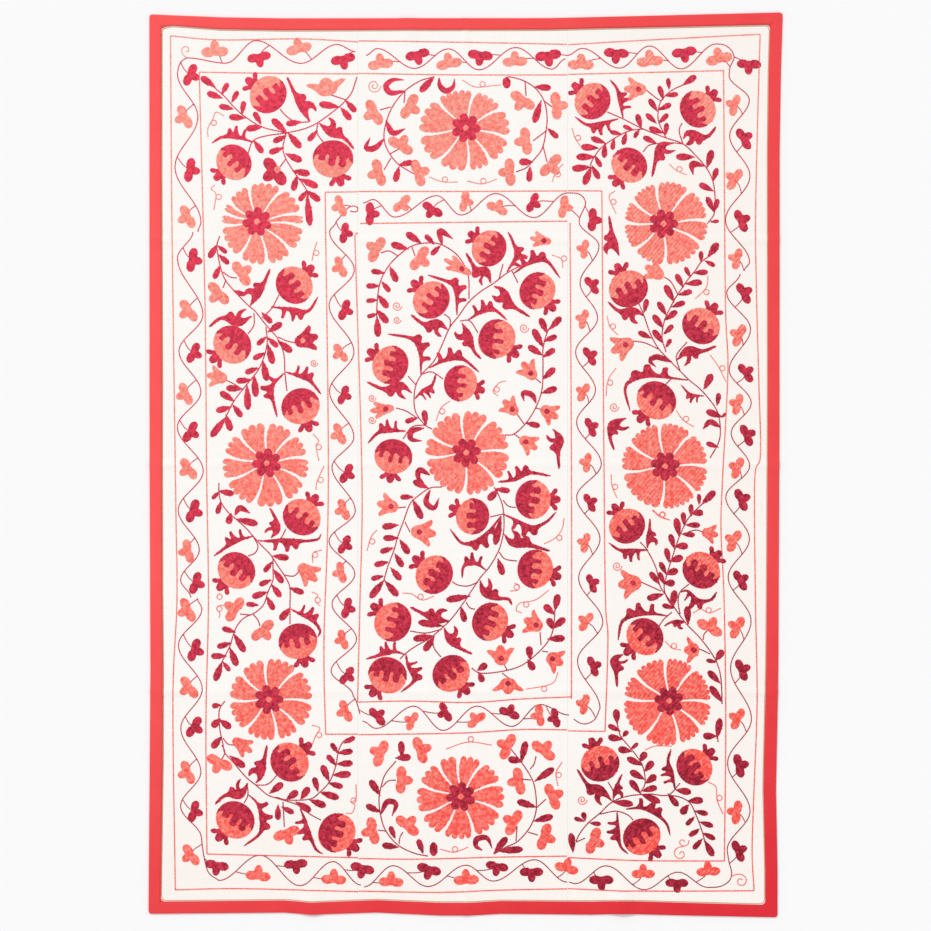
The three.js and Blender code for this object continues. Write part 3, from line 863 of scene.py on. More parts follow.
# %% The rosettes, in millimetres and degrees
ROSETTES = [
    {"name": "left_upper", "at": (-481, 571), "size": (96, 96), "heart": (-494, 576),
     "gaps": [-174, -117, -76, -40, -5, 11, 52, 103, 145, 165]},
    {"name": "left_middle", "at": (-474, 0), "size": (101, 99), "heart": (-471, 4),
     "gaps": [-156, -107, -63, -25, 9, 47, 90, 135, 170]},
    {"name": "left_lower", "at": (-461, -556), "size": (98, 96), "heart": (-466, -556),
     "gaps": [-179, -128, -78, -43, -3, 46, 95, 137]},
    {"name": "right_upper", "at": (475, 572), "size": (98, 98), "heart": (469, 571),
     "gaps": [-138, -88, -27, 5, 52, 100, 143, 178]},
    {"name": "right_middle", "at": (472, -3), "size": (101, 101), "heart": (473, -3),
     "gaps": [-172, -96, -42, 0, 51, 98, 148]},
    {"name": "right_lower", "at": (478, -562), "size": (103, 103), "heart": (482, -559),
     "gaps": [-125, -77, -40, -2, 52, 95, 143, 177]},
    {"name": "top", "at": (-3, 792), "size": (107, 95), "heart": (1, 798),
     "gaps": [-172, -130, -87, -53, -13, 29, 77, 136]},
    {"name": "centre", "at": (4, 28), "size": (99, 99), "heart": (2, 29),
     "gaps": [-173, -93, -43, 2, 55, 97, 155]},
    {"name": "bottom", "at": (-12, -788), "size": (103, 98), "heart": (-11, -786),
     "gaps": [-155, -117, -71, -20, 19, 57, 94, 126, 164]},
]
# Half the gap between petals at the heart, how much wider it grows and how far it bends.
PETAL_GAP, GAP_GROWS, GAP_BEND = 2.0, 2.8, 0.06
PETAL_INNER = 17
# Degrees of one lobe of the rim and its depth: the hand at the right drew finer lobes.
LOBE_LEFT, LOBE_RIGHT = (13, 0.11), (9.5, 0.08)
HEART_RADIUS, HEART_WAIST, HEART_ANGLE = 35, 0.66, 0.8
LOBE_PARTS = 6
DOT_RADIUS, DOT_TONE = 7, 1.06
print(len(ROSETTES), "rosettes")


# %% The outline of one petal
def reach_from(heart, middle, size, angle):
    away = np.array([math.cos(angle), math.sin(angle)])
    from_middle = (np.array(heart) - middle) / size
    way = away / size
    a, b, c = way @ way, from_middle @ way, from_middle @ from_middle - 1
    return (-b + math.sqrt(b * b - a * c)) / a


def petal(rosette, first, last):
    middle, heart, size = (np.array(rosette[key], float) for key in ("at", "heart", "size"))
    lobe_turn, depth = LOBE_LEFT if middle[0] < SEAMS[1] else LOBE_RIGHT
    lobes = max(2, min(6, round(math.degrees(last - first) / lobe_turn)))
    side_shares = np.linspace(0.0, 1.0, 6)

    def side(angle, sign):
        rim = reach_from(heart, middle, size, angle) * (1 - depth)
        radii = PETAL_INNER + side_shares * (rim - PETAL_INNER)
        turns = angle + sign * (PETAL_GAP + GAP_GROWS * side_shares ** 2) / radii
        turns = turns + GAP_BEND * np.sin(np.pi * side_shares)
        return list(zip(radii, turns))

    points = side(first, 1)
    low, high = points[-1][1], side(last, -1)[-1][1]
    for step in np.linspace(0, 1, 9 * lobes + 1)[1:-1]:
        angle = low + step * (high - low)
        scallop = abs(math.sin(math.pi * lobes * step)) ** 0.5
        round_off = 1 - 0.03 * abs(2 * step - 1) ** 4
        share = (1 - depth + (depth + 0.01) * scallop) * round_off
        points.append((reach_from(heart, middle, size, angle) * share, angle))
    points += side(last, -1)[::-1]
    return np.array([heart + r * np.array([math.cos(t), math.sin(t)]) for r, t in points])


def lobed(centre, radius, lobes, waist, start=0.0):
    count = lobes * LOBE_PARTS
    angles = start + np.arange(count) * 2 * math.pi / count
    bulge = np.abs(np.cos(lobes * (angles - start) / 2)) ** 0.7
    reach = radius * (waist + (1 - waist) * bulge)
    return np.array(centre) + np.column_stack([reach * np.cos(angles), reach * np.sin(angles)])


print("petal points", len(petal(ROSETTES[0], 0, 0.8)))

# %% Sew the rosettes
FLOWER_SPREAD = 0.05
for rosette in ROSETTES:
    work = Needlework()
    start = random.random()
    heart = lobed(rosette["heart"], HEART_RADIUS, 7, HEART_WAIST, start)
    dot = lobed(rosette["heart"], DOT_RADIUS, 4, 0.9)
    gaps = [math.radians(g) for g in rosette["gaps"]]
    ends = gaps[1:] + [gaps[0] + 2 * math.pi]
    for first, last in zip(gaps, ends):
        own = varied(FLOWER_SPREAD)
        fill(work, petal(rosette, first, last), (first + last) / 2, CORAL, own, holes=[heart])
    fill(work, heart, HEART_ANGLE, CRIMSON, holes=[dot], lift=0.25)
    fill(work, dot, 0.0, CORAL, DOT_TONE, lift=0.3)
    sew("silk_rosette_" + rosette["name"], work, "coral_silk", "rosette_" + rosette["name"])

# %% [markdown]
# ## Pomegranates
# Between the rosettes hang 39 round fruits. Half of each is dark, and that half ends in
# rounded fingers that reach over the light half, like the seeds of an opened fruit. A dark
# crown of three lobes stands at one end, and a stem comes in at the other.

# %% The pomegranates: middle and radius in millimetres, crown and dark side in degrees
FRUITS = [
    (-468, 877, 44, 144, -48), (-549, 717, 42, 222, 43), (-314, 725, 46, -72, 80), (-406, 426, 44, 45, 215),
    (-553, 285, 45, 218, 50), (-391, 139, 44, -69, 115), (-388, -124, 44, 55, 235),
    (-543, -250, 44, 226, 55),
    (-397, -418, 44, -73, 105), (-417, -704, 46, 41, 215), (-546, -841, 45, 228, 60),
    (-305, -872, 45, -39, 165),
    (301, 862, 43, 139, -35), (550, 843, 43, 44, 205), (388, 710, 42, 233, 50), (386, 417, 45, 116, -60),
    (558, 329, 44, 55, 235), (452, 153, 46, 230, 60), (383, -145, 42, 123, -50), (559, -250, 44, 44, 240),
    (425, -407, 44, 221, 45), (319, -708, 44, 110, -70), (542, -716, 43, 42, 215), (418, -881, 44, -48, 125),
    (56, 513, 42, 142, -30), (-81, 391, 44, 136, -35), (170, 412, 43, -48, 160), (74, 298, 45, -39, 175),
    (-178, 237, 44, 147, -15), (-12, 193, 41, -18, 175), (-171, 20, 43, 262, 75), (17, -122, 41, 157, 0),
    (160, -82, 44, 0, 170), (-74, -260, 45, 140, -30), (165, -247, 44, -18, 175), (-172, -372, 45, 141, -15),
    (58, -372, 44, -32, 160), (-185, -498, 44, 231, 80), (-34, -494, 44, -49, 130),
]
# A fruit is a little wider than tall, seen with its crown up.
FRUIT_WIDE, FRUIT_TALL = 1.04, 0.95
BODY_POINTS = 40
print(len(FRUITS), "pomegranates")


# %% The body, the dark half and the crown
def placed(points, centre, angle):
    c, s = math.cos(angle), math.sin(angle)
    spots = np.array(points, float)
    return np.array(centre) + spots @ np.array([[c, s], [-s, c]])


def fruit_body(r):
    turns = np.arange(BODY_POINTS) * 2 * math.pi / BODY_POINTS
    return np.column_stack([r * FRUIT_TALL * np.cos(turns), r * FRUIT_WIDE * np.sin(turns)])


# A finger is its place across the fruit and its reach, in radii of the fruit.
FINGERS = [(-0.62, 0.2), (-0.07, 0.38), (0.47, 0.32)]
FINGER_HALF = 0.145


def dark_half(r, sway):
    turns = np.radians(np.linspace(80 + 14 * sway, 280 + 14 * sway, 25))
    rim = 1.004 * r * np.column_stack([FRUIT_TALL * np.cos(turns), FRUIT_WIDE * np.sin(turns)])
    edge = [rim[-1] / r, (0.02, -0.93)]
    for across, reach in FINGERS:
        across, reach = across + 0.1 * sway, reach * (1 + 0.4 * sway * across)
        half = FINGER_HALF + 0.07 * sway
        edge += [(-0.1, across - half), (reach * 0.6, across - 1.08 * half),
                 (reach * 0.92, across - 0.7 * half), (reach, across),
                 (reach * 0.92, across + 0.7 * half), (reach * 0.6, across + 1.08 * half),
                 (-0.06, across + half), (-0.2, across + half + 0.09)]
    edge += [(-0.1, 0.84), rim[0] / r]
    return np.vstack([rim, r * smooth_line(edge, 3)[1:-1]])


# One half of the crown, in radii of the fruit; the other half is its mirror image.
CROWN = [(0.88, 0.3), (1.0, 0.38), (1.08, 0.52), (1.19, 0.6), (1.3, 0.56), (1.33, 0.45), (1.26, 0.33),
         (1.14, 0.23), (1.26, 0.2), (1.4, 0.17), (1.47, 0.09)]
CROWN_TIP = (1.49, 0)


def crown(r):
    mirrored = [(x, -y) for x, y in CROWN]
    return r * np.array([*mirrored, CROWN_TIP, *CROWN[::-1]])


print("crown points", len(crown(44)), "dark half points", len(dark_half(44, 0)))

# %% Sew the pomegranates
for number, (x, y, r, crown_at, dark_at) in enumerate(FRUITS, 1):
    work = Needlework()
    top, dark_turn = math.radians(crown_at), math.radians(dark_at + 180)
    body = placed(fruit_body(r), (x, y), top)
    dark = placed(dark_half(r, random.random() - 0.5), (x, y), dark_turn)
    own = varied(FLOWER_SPREAD)
    fill(work, placed(crown(r), (x, y), top), top, CRIMSON, own, holes=[body])
    fill(work, body, dark_turn, CORAL, own, holes=[dark], lift=0.1)
    fill(work, dark, dark_turn + 0.2, CRIMSON, own, lift=0.18)
    node = f"pomegranate_{number:02d}"
    sew("silk_" + node, work, "crimson_silk", node)

# %% [markdown]
# ## Smaller motifs
# The stems carry leaves of a few kinds: plain ones like drops, crescents, and long curled
# ones with teeth. Where the teeth stand inside the bend of its middle line, a leaf is broad
# with a hook, and where they stand outside it is slim with prongs. Trefoils and tulips are
# the small flowers. Each kind is one function that gives an outline, so that a row of a
# table is enough to place one.


# %% Drop-shaped leaves and curled ones with teeth
# A leaf is noted at these shares of its length and is at its widest at LEAF_FULL. Its base
# starts LEAF_STALK inside the stem, so that the two always meet.
LEAF_STEPS = np.array([0, 0.12, 0.25, 0.4, 0.55, 0.68, 0.8, 0.9, 0.97, 1])
LEAF_FULL = 0.68
LEAF_WIDEST = 17.0
LEAF_STALK = 3.0


def leaf(base, tip, share):
    base, tip = np.array(base, float), np.array(tip, float)
    way = tip - base
    base -= LEAF_STALK * way / np.hypot(*way)
    way = tip - base
    length = np.hypot(*way)
    rising = np.sin(np.pi / 2 * np.clip(LEAF_STEPS / LEAF_FULL, 0.08, 1)) ** 1.1
    ending = np.sqrt(1 - (np.maximum(LEAF_STEPS - LEAF_FULL, 0) / (1 - LEAF_FULL)) ** 2)
    half = min(share * length, LEAF_WIDEST) / 2 * rising * ending
    along = LEAF_STEPS * length
    points = list(zip(along, half)) + list(zip(along[-2:0:-1], -half[-2:0:-1]))
    return placed(points, base, math.atan2(way[1], way[0]))


# Teeth are shares of the leaf's length along it, and shares of a tooth's height out from it.
HOOKS = [(0.14, 0), (0.22, 0.15), (0.235, 0.5), (0.2, 0.85), (0.12, 1.2), (0.2, 1.32), (0.3, 1.16),
         (0.37, 0.82), (0.395, 0.45), (0.425, 0.4), (0.45, 0.68), (0.5, 0.82), (0.55, 0.7),
         (0.575, 0.38), (0.61, 0.14), (0.66, 0)]
PRONGS = [(0.16, 0), (0.2, 0.2), (0.21, 0.7), (0.2, 1.15), (0.235, 1.25), (0.265, 0.9), (0.28, 0.35),
          (0.3, 0.12), (0.35, 0.3), (0.39, 0.9), (0.4, 1.35), (0.445, 1.35), (0.465, 0.95), (0.475, 0.5),
          (0.5, 0.45), (0.535, 0.85), (0.58, 0.95), (0.605, 0.65), (0.61, 0.3), (0.64, 0.08), (0.7, 0)]
BROAD_BODY = ([0, 0.1, 0.2, 0.33, 0.45, 0.58, 0.7, 0.85, 0.95, 1],
              [0.1, 0.4, 0.75, 1, 0.9, 0.62, 0.45, 0.38, 0.3, 0.08])
SLIM_BODY = ([0, 0.1, 0.3, 0.45, 0.6, 0.75, 0.9, 1], [0.12, 0.26, 0.38, 0.5, 0.46, 0.36, 0.3, 0.08])
# The body's width and the teeth are these shares of the length, up to a limit in
# millimetres. A leaf is slim where its middle line bulges towards its teeth by more than
# SLIM_BULGE of its length.
BODY_WIDEST, BODY_SHARE = 18.0, 0.2
TOOTH_LONGEST, TOOTH_SHARE = 17.0, 0.19
SLIM_BULGE = 0.05


def ribbon(spine, widest, side=0, tooth=0.0, profile=None, teeth=None):
    line = along_line(smooth_line(spine), 3.2)
    ways = np.gradient(line, axis=0)
    ways /= np.hypot(*ways.T)[:, None]
    across = np.column_stack([-ways[:, 1], ways[:, 0]])
    steps = np.linspace(0, 1, len(line))
    if profile is None:
        half = widest / 2 * np.sin(np.pi * np.clip(steps, 0.03, 0.97) ** 0.85) ** 0.9 + 0.4
    else:
        half = widest / 2 * np.interp(steps, *profile)
    edges = {sign: line + sign * across * half[:, None] for sign in (1, -1)}
    if side:
        mean_way = across[(steps > teeth[0][0]) & (steps < teeth[-1][0])].mean(axis=0)
        mean_way /= np.hypot(*mean_way)

        def on_edge(share, out):
            spot = [np.interp(share, steps, edges[side][:, k]) for k in (0, 1)]
            way = mean_way
            if teeth is PRONGS:
                way = (mean_way + [np.interp(share, steps, across[:, k]) for k in (0, 1)]) / 2
            return spot + side * way * out * tooth

        before, after = edges[side][steps < teeth[0][0]], edges[side][steps > teeth[-1][0]]
        shaped = smooth_line([on_edge(*row) for row in teeth], 2)
        edges[side] = np.vstack([before, shaped, after])
    return np.vstack([edges[1], edges[-1][::-1]])


def toothed(spine, crest):
    line = smooth_line(spine)
    towards = np.array(crest) - line[len(line) // 2]
    way = line[-1] - line[0]
    side = 1 if way[0] * towards[1] - way[1] * towards[0] > 0 else -1
    length = np.hypot(*np.diff(line, axis=0).T).sum()
    bow = line[len(line) // 2] - (line[0] + line[-1]) / 2
    bulge = side * (way[0] * bow[1] - way[1] * bow[0]) / length ** 2
    kind = (SLIM_BODY, PRONGS) if bulge > SLIM_BULGE else (BROAD_BODY, HOOKS)
    widest, tooth = min(BODY_WIDEST, BODY_SHARE * length), min(TOOTH_LONGEST, TOOTH_SHARE * length)
    return ribbon(spine, widest, side, tooth, *kind)


print("points of a drop-shaped leaf", len(leaf((0, 0), (40, 0), 0.4)))
print("points of a toothed leaf", len(toothed([(0, 0), (40, 10), (80, 0)], (40, 30))))


# %% Trefoils and tulips
# A lobe of a trefoil is an ellipse from its middle: direction, half length and half width.
LOBES = [(0, 0.64, 0.45), (1.5, 0.57, 0.41), (3.0, 0.62, 0.45)]
LOBE_ROOT = 0.3
LOBE_SHIFT = 0.14
TULIP = [(0, 4), (2, 10), (7, 15), (14, 18), (20, 23), (25, 29), (31, 33), (33, 27), (31, 19), (28, 13),
         (31, 10), (36, 8), (39.5, 4), (40, 0)]
TULIP_LONG, TULIP_WIDE = 40, 66


def trefoil(centre, turn, size, hand=1):
    angles = np.linspace(0, 2 * math.pi, 42, endpoint=False)
    reach = np.full(len(angles), LOBE_ROOT)
    for way, half_long, half_wide in LOBES:
        c, s = np.cos(angles - turn - hand * way), np.sin(angles - turn - hand * way)
        lobe = 2 * c / half_long / (c ** 2 / half_long ** 2 + s ** 2 / half_wide ** 2)
        reach = np.maximum(reach, lobe)
    middle_lobe = turn + hand * LOBES[1][0]
    away = -LOBE_SHIFT * size * np.array([math.cos(middle_lobe), math.sin(middle_lobe)])
    ways = np.column_stack([np.cos(angles), np.sin(angles)])
    return np.array(centre) + away + size * reach[:, None] * ways


def tulip(base, turn, long, wide):
    low = [(x, -y) for x, y in TULIP[-2::-1]]
    return placed(np.array(TULIP + low) * (long / TULIP_LONG, wide / TULIP_WIDE), base, turn)


print("trefoil points", len(trefoil((0, 0), 0, 20)))

# %% [markdown]
# ## Framing lines
# Four nested frames of single coral chain stitch divide the cloth into borders and field.
# They were drawn by hand before sewing, so they wander a few millimetres, and they break
# at the seams, because each width was embroidered before the three were joined.

# %% The framing lines, in pixels of the photograph
FRAMES = [
    [(170.6, 36), (172, 220), (175.8, 500), (177, 600), (173, 700), (175.4, 890)],
    [(170.6, 36), (220, 40), (300, 39), (358.1, 42)],
    [(358.6, 41), (470, 42.5), (567.1, 44.5)],
    [(568, 44.8), (660, 39.5), (760, 34.4)],
    [(760, 34.4), (757, 140), (755.4, 225), (756.5, 300), (758.8, 385), (760.3, 455), (754.6, 480),
     (755.3, 600), (757, 700), (753.9, 790), (752, 850), (754, 890)],
    [(175.4, 889.7), (240, 888.5), (358.1, 891.5)],
    [(358.6, 891), (440, 892.2), (500, 890), (567.1, 888.7)],
    [(568, 888.5), (620, 890.6), (680, 891), (754, 890.6)],
    [(199.3, 72.3), (205, 300), (206.6, 470), (208.5, 600), (206, 720), (207, 853.9)],
    [(199.3, 72.3), (280, 73.5), (358.1, 74)],
    [(358.6, 73.5), (460, 75), (567.1, 75)],
    [(568, 74.5), (650, 72.5), (724, 70.7)],
    [(723.5, 70.7), (725.3, 300), (727.8, 370), (722.4, 480), (720.9, 530), (724, 600), (725.7, 720),
     (724.3, 860.9)],
    [(207, 853.9), (290, 856), (358.1, 857.6)],
    [(358.6, 858.5), (420, 859), (500, 857), (567.1, 856)],
    [(568, 857.5), (640, 860.5), (724.3, 860.9)],
    [(325.2, 192.3), (328.4, 480), (324, 640), (325.6, 734.2)],
    [(325.2, 192.3), (358.1, 191.8)],
    [(358.6, 191.5), (460, 191.5), (567.1, 191)],
    [(568, 190.8), (601.8, 191)],
    [(601.8, 191), (603.8, 450), (605.4, 600), (607.9, 640), (605, 731.3)],
    [(325.6, 734.2), (358.1, 734)],
    [(358.6, 734.6), (460, 733), (520, 729.5), (567.1, 729.8)],
    [(568, 730.8), (605, 731.3)],
    [(358, 233), (355.4, 236), (355.6, 260), (362, 480), (360, 600), (357.6, 702)],
    [(360, 223.6), (450, 222.5), (567, 221.2)],
    [(570, 223), (571.5, 500), (571.4, 699)],
    [(357.6, 702), (410, 701), (470, 702.4), (520, 699), (571, 696.8)],
]
FRAME_HALF_WIDE = 1.9
LINE_TONE = 0.98
work = Needlework()
for line in FRAMES:
    chain(work, smooth_line(cloth_mm(line)), FRAME_HALF_WIDE, CORAL, LINE_TONE)
sew("silk_frame_lines", work, "coral_silk")

# %% [markdown]
# ## Vines in the borders
# A thin dark vine waves along each border, with a trefoil on each side in turn. The bends
# are noted where the vine comes closest to either side. Between two bends it follows half
# a wave of a cosine, which is how a hand-drawn meander runs.

# %% The bends of the vines and their trefoils, in pixels
ACROSS, DOWN, FREE = 0, 1, 2
VINES = [
    (FREE, [(187, 58), (182, 61), (179, 66), (177.5, 74)]),
    (DOWN, [(177.5, 74), (198, 117), (175, 167), (201, 222), (198, 232)]),
    (DOWN, [(193, 232), (177.5, 258), (203, 315), (179, 351), (201, 392), (177.4, 427), (203.4, 471),
            (178.2, 510), (199.4, 550), (180.6, 580), (191, 597.6)]),
    (DOWN, [(197.4, 598), (202, 609), (178.4, 645), (202.4, 689), (180.8, 728), (201, 772), (180.6, 806),
            (201.6, 838)]),
    (FREE, [(201.6, 838), (203, 850), (205, 861), (209, 873), (219, 880.4)]),
    (ACROSS, [(219, 880.4), (260, 855), (300, 885.6), (333, 861.4), (361, 885)]),
    (ACROSS, [(364, 886.8), (393, 865.5), (428, 886.5), (466, 865), (493, 881), (534.6, 859.5), (567, 882)]),
    (ACROSS, [(569, 882), (575, 883.6), (606, 865.6), (644, 889.6), (678, 872), (708, 887.4)]),
    (FREE, [(708, 887.4), (720, 886.4), (729, 881), (731.6, 873), (729, 862), (727, 850)]),
    (DOWN, [(727, 850), (750, 811), (727.4, 763), (751.4, 719), (730.4, 668), (751, 621), (728, 577),
            (749.4, 539), (725.6, 497), (749.6, 466), (731, 433), (751.2, 403), (729, 370), (750.5, 329),
            (726.6, 293), (740, 274)]),
    (DOWN, [(744, 271), (749.5, 262), (725.3, 220), (749.9, 176), (729.5, 136), (749.3, 100), (729, 76)]),
    (FREE, [(729, 76), (730, 67), (734, 58), (731, 50), (724, 45), (716, 44)]),
    (ACROSS, [(187, 58), (226, 63.3), (256, 40.6), (301, 63.5), (337, 44.5), (355.6, 51.7)]),
    (ACROSS, [(366, 55.5), (377, 48.6), (414.6, 68.6), (448.6, 48.9), (479, 70), (515.7, 47.6), (552, 69.3),
              (565.5, 59)]),
    (ACROSS, [(567.4, 55.5), (582, 48.4), (619.6, 68.3), (649.4, 46), (681, 69), (716, 44)]),
    (DOWN, [(336, 222), (329.5, 232), (354.4, 270), (329, 305), (354, 352), (329.4, 391), (354, 437),
            (332, 467), (355.4, 511), (329, 541), (355, 574), (332, 604), (356.6, 639), (331, 671),
            (353, 695)]),
    (ACROSS, [(362.4, 721), (376, 728.4), (414, 706), (443, 730.4), (477, 706), (512, 726.4), (540, 704.4),
              (569, 715)]),
    (FREE, [(573.6, 719), (580, 723), (587, 723.6), (595, 719), (600, 708)]),
    (DOWN, [(600, 708), (577.4, 660.5), (602.8, 622), (578.5, 578), (600, 539), (576.5, 497),
            (601.3, 464), (576.5, 422), (595.5, 390), (575.5, 352), (597.6, 318), (580, 283), (599, 246),
            (579, 222), (585.6, 202)]),
    (ACROSS, [(363, 203), (373, 199.5), (394.7, 217.2), (437, 195.7), (461, 215.2), (495.8, 193.5),
              (534, 217.7), (567, 193)]),
    (FREE, [(567, 193), (577, 193.5), (583, 197), (585.6, 202)]),
    (FREE, [(336, 222), (347, 209), (353, 206), (358, 208), (356, 212), (350, 211)]),
    (FREE, [(353, 695), (357, 703), (360, 714)]),
]
print(len(VINES), "stretches of vine")

# %% Trefoils of the borders, with the turn of the long lobe in degrees
# The root of a lane says where the vine lies from a trefoil, to the right and down.
LANES = [
    {"thread": CORAL, "size": 9.9, "turn": -70, "hand": -1, "root": (8, -11), "spots": [
        (184, 117), (187, 217), (188, 311), (185, 394), (188, 469), (187.4, 551), (187, 610), (188.6, 687.6),
        (187, 772.4), (190.4, 855), (340, 206), (340, 267), (340, 353), (339, 434), (343, 509.6),
        (340.6, 572.4), (342.4, 639.5), (345, 711)]},
    {"thread": CRIMSON, "size": 9.3, "turn": -110, "hand": 1, "root": (-8, -11), "spots": [
        (191, 75), (190.6, 170), (193, 260), (194, 353), (191, 432), (193.6, 511), (196.2, 583), (195, 650),
        (194.6, 727), (194.4, 811.4), (345, 233), (345, 310), (344, 395), (347, 473.6), (345, 544.6),
        (347.4, 608), (347.4, 675.6)]},
    {"thread": CORAL, "size": 9.1, "turn": -115, "hand": -1, "root": (8, 12), "spots": [
        (734, 105), (734, 179), (736.4, 258.6), (738.6, 335), (737, 404), (737, 467.6), (733.4, 540.6),
        (736.6, 627), (737, 718.4), (736, 812), (584, 249), (583, 319), (583, 392), (586.5, 462.4),
        (584.8, 542.6), (585.6, 621.4), (584, 704)]},
    {"thread": CRIMSON, "size": 9.2, "turn": -60, "hand": 1, "root": (-8, 12), "spots": [
        (744, 138.5), (741.5, 220.5), (744, 293), (746, 372.6), (747, 435), (741.6, 499.4), (740.6, 580),
        (742, 669.6), (739.6, 765.4), (738.6, 850.6), (592, 285), (590, 356), (591, 427), (590, 502.4),
        (592, 583), (593.4, 666)]},
    {"thread": CORAL, "size": 10.2, "turn": 180, "hand": -1, "root": (9, 9), "spots": [
        (215, 51), (299, 48), (380.6, 63.5), (449, 63), (515, 61), (581, 64), (650, 60.5), (719, 58),
        (402, 204, 35), (465, 201.5, 65), (497.5, 208, 140), (564, 207, 75)]},
    {"thread": CRIMSON, "size": 10.0, "turn": 0, "hand": -1, "root": (11, -9), "spots": [
        (259, 58), (343, 60), (417.4, 55.5), (480, 56), (548, 56.4), (616, 54), (684, 53), (748.6, 65),
        (370.6, 214, 90), (432, 210, -35), (533, 203, 60), (593, 220, 90)]},
    {"thread": CORAL, "size": 9.6, "turn": 0, "hand": 1, "root": (-10, 10), "spots": [
        (258, 875), (333.6, 878.6), (391, 881), (466, 879), (566.4, 867.4), (643, 873), (708, 870.6),
        (411.6, 721, 60), (476, 719.6, 50), (539, 715.4, 90)]},
    {"thread": CRIMSON, "size": 9.4, "turn": 180, "hand": 1, "root": (-10, -9), "spots": [
        (217, 866), (296, 864.6), (362.4, 869), (429, 870), (497, 867), (531.6, 872.6), (601.4, 880.6),
        (677, 883.6), (377.6, 716, -35), (445, 712.4, 135), (509.4, 712.4, -15), (555, 718, 100)]},
]
# Within these lines of the photograph the border is the inner one, with smaller trefoils.
INNER_SMALLER = 0.88
INNER_LEFT, INNER_RIGHT, INNER_TOP, INNER_BOTTOM = 320, 610, 190, 740
print("trefoils in the borders", sum(len(lane["spots"]) for lane in LANES))


# %% Sew the vines and their trefoils
def meander(bends, axis):
    if axis == FREE:
        return list(smooth_line(bends))
    made = []
    for (x0, y0), (x1, y1) in zip(bends[:-1], bends[1:]):
        for t in np.linspace(0, 1, 10, endpoint=False):
            wave = (1 - math.cos(math.pi * t)) / 2
            if axis == DOWN:
                made.append((x0 + (x1 - x0) * wave, y0 + (y1 - y0) * t))
            else:
                made.append((x0 + (x1 - x0) * t, y0 + (y1 - y0) * wave))
    return made + [bends[-1]]


VINE_HALF_WIDE, SMALL_STEM = 1.65, 0.9
STEM_BOW = 0.12
SIZE_SPREAD, TURN_SPREAD = 0.12, 0.5
vine_work = Needlework()
vine_spots = []
for axis, bends in VINES:
    line = meander(bends, axis)
    vine_spots += line
    chain(vine_work, cloth_mm(line), VINE_HALF_WIDE, CRIMSON)
vine_spots = np.array(vine_spots)
lane_work = {"left": Needlework(), "centre": Needlework(), "right": Needlework()}


def width_of(spots):
    x = np.array(spots).reshape(-1, 2)[:, 0].mean()
    return "left" if x < SEAMS[0] else "right" if x > SEAMS[1] else "centre"


for lane in LANES:
    for x, y, *own_turn in lane["spots"]:
        turn = math.radians(own_turn[0] if own_turn else lane["turn"])
        angle = turn + TURN_SPREAD * (random.random() - 0.5)
        size = lane["size"] * PIXEL * varied(SIZE_SPREAD)
        if INNER_LEFT < x < INNER_RIGHT and INNER_TOP < y < INNER_BOTTOM:
            size *= INNER_SMALLER
        shape = trefoil(cloth_mm((x, y))[0], angle, size, lane["hand"])
        fill(lane_work[width_of(shape)], shape, angle, lane["thread"])
        across, down = lane["root"]
        root = vine_spots[np.hypot(vine_spots[:, 0] - x - across, vine_spots[:, 1] - y - down).argmin()]
        bend = (np.array(root) * 0.45 + np.array((x, y)) * 0.55) + (STEM_BOW * down, -STEM_BOW * across)
        small_stem = smooth_line(cloth_mm([root, bend, (x, y)]))
        chain(vine_work, small_stem, VINE_HALF_WIDE * SMALL_STEM, CRIMSON)
sew("silk_vines", vine_work, "crimson_silk")
for name, work in lane_work.items():
    sew("silk_border_trefoils_" + name, work, "coral_silk")

# %% [markdown]
# ## The field
# Branches run through the field between rosettes and fruits. They are noted width by
# width in pixels of the photograph: the stems as points along the line, each leaf as the
# place where it leaves the stem and its tip, each toothed leaf as its middle line and a
# point on the side of its teeth, each tulip as base, tip and width. Ribbons are crescents,
# curls are lines with one loop, scrolls are lines that curl in, and beads are small ovals.

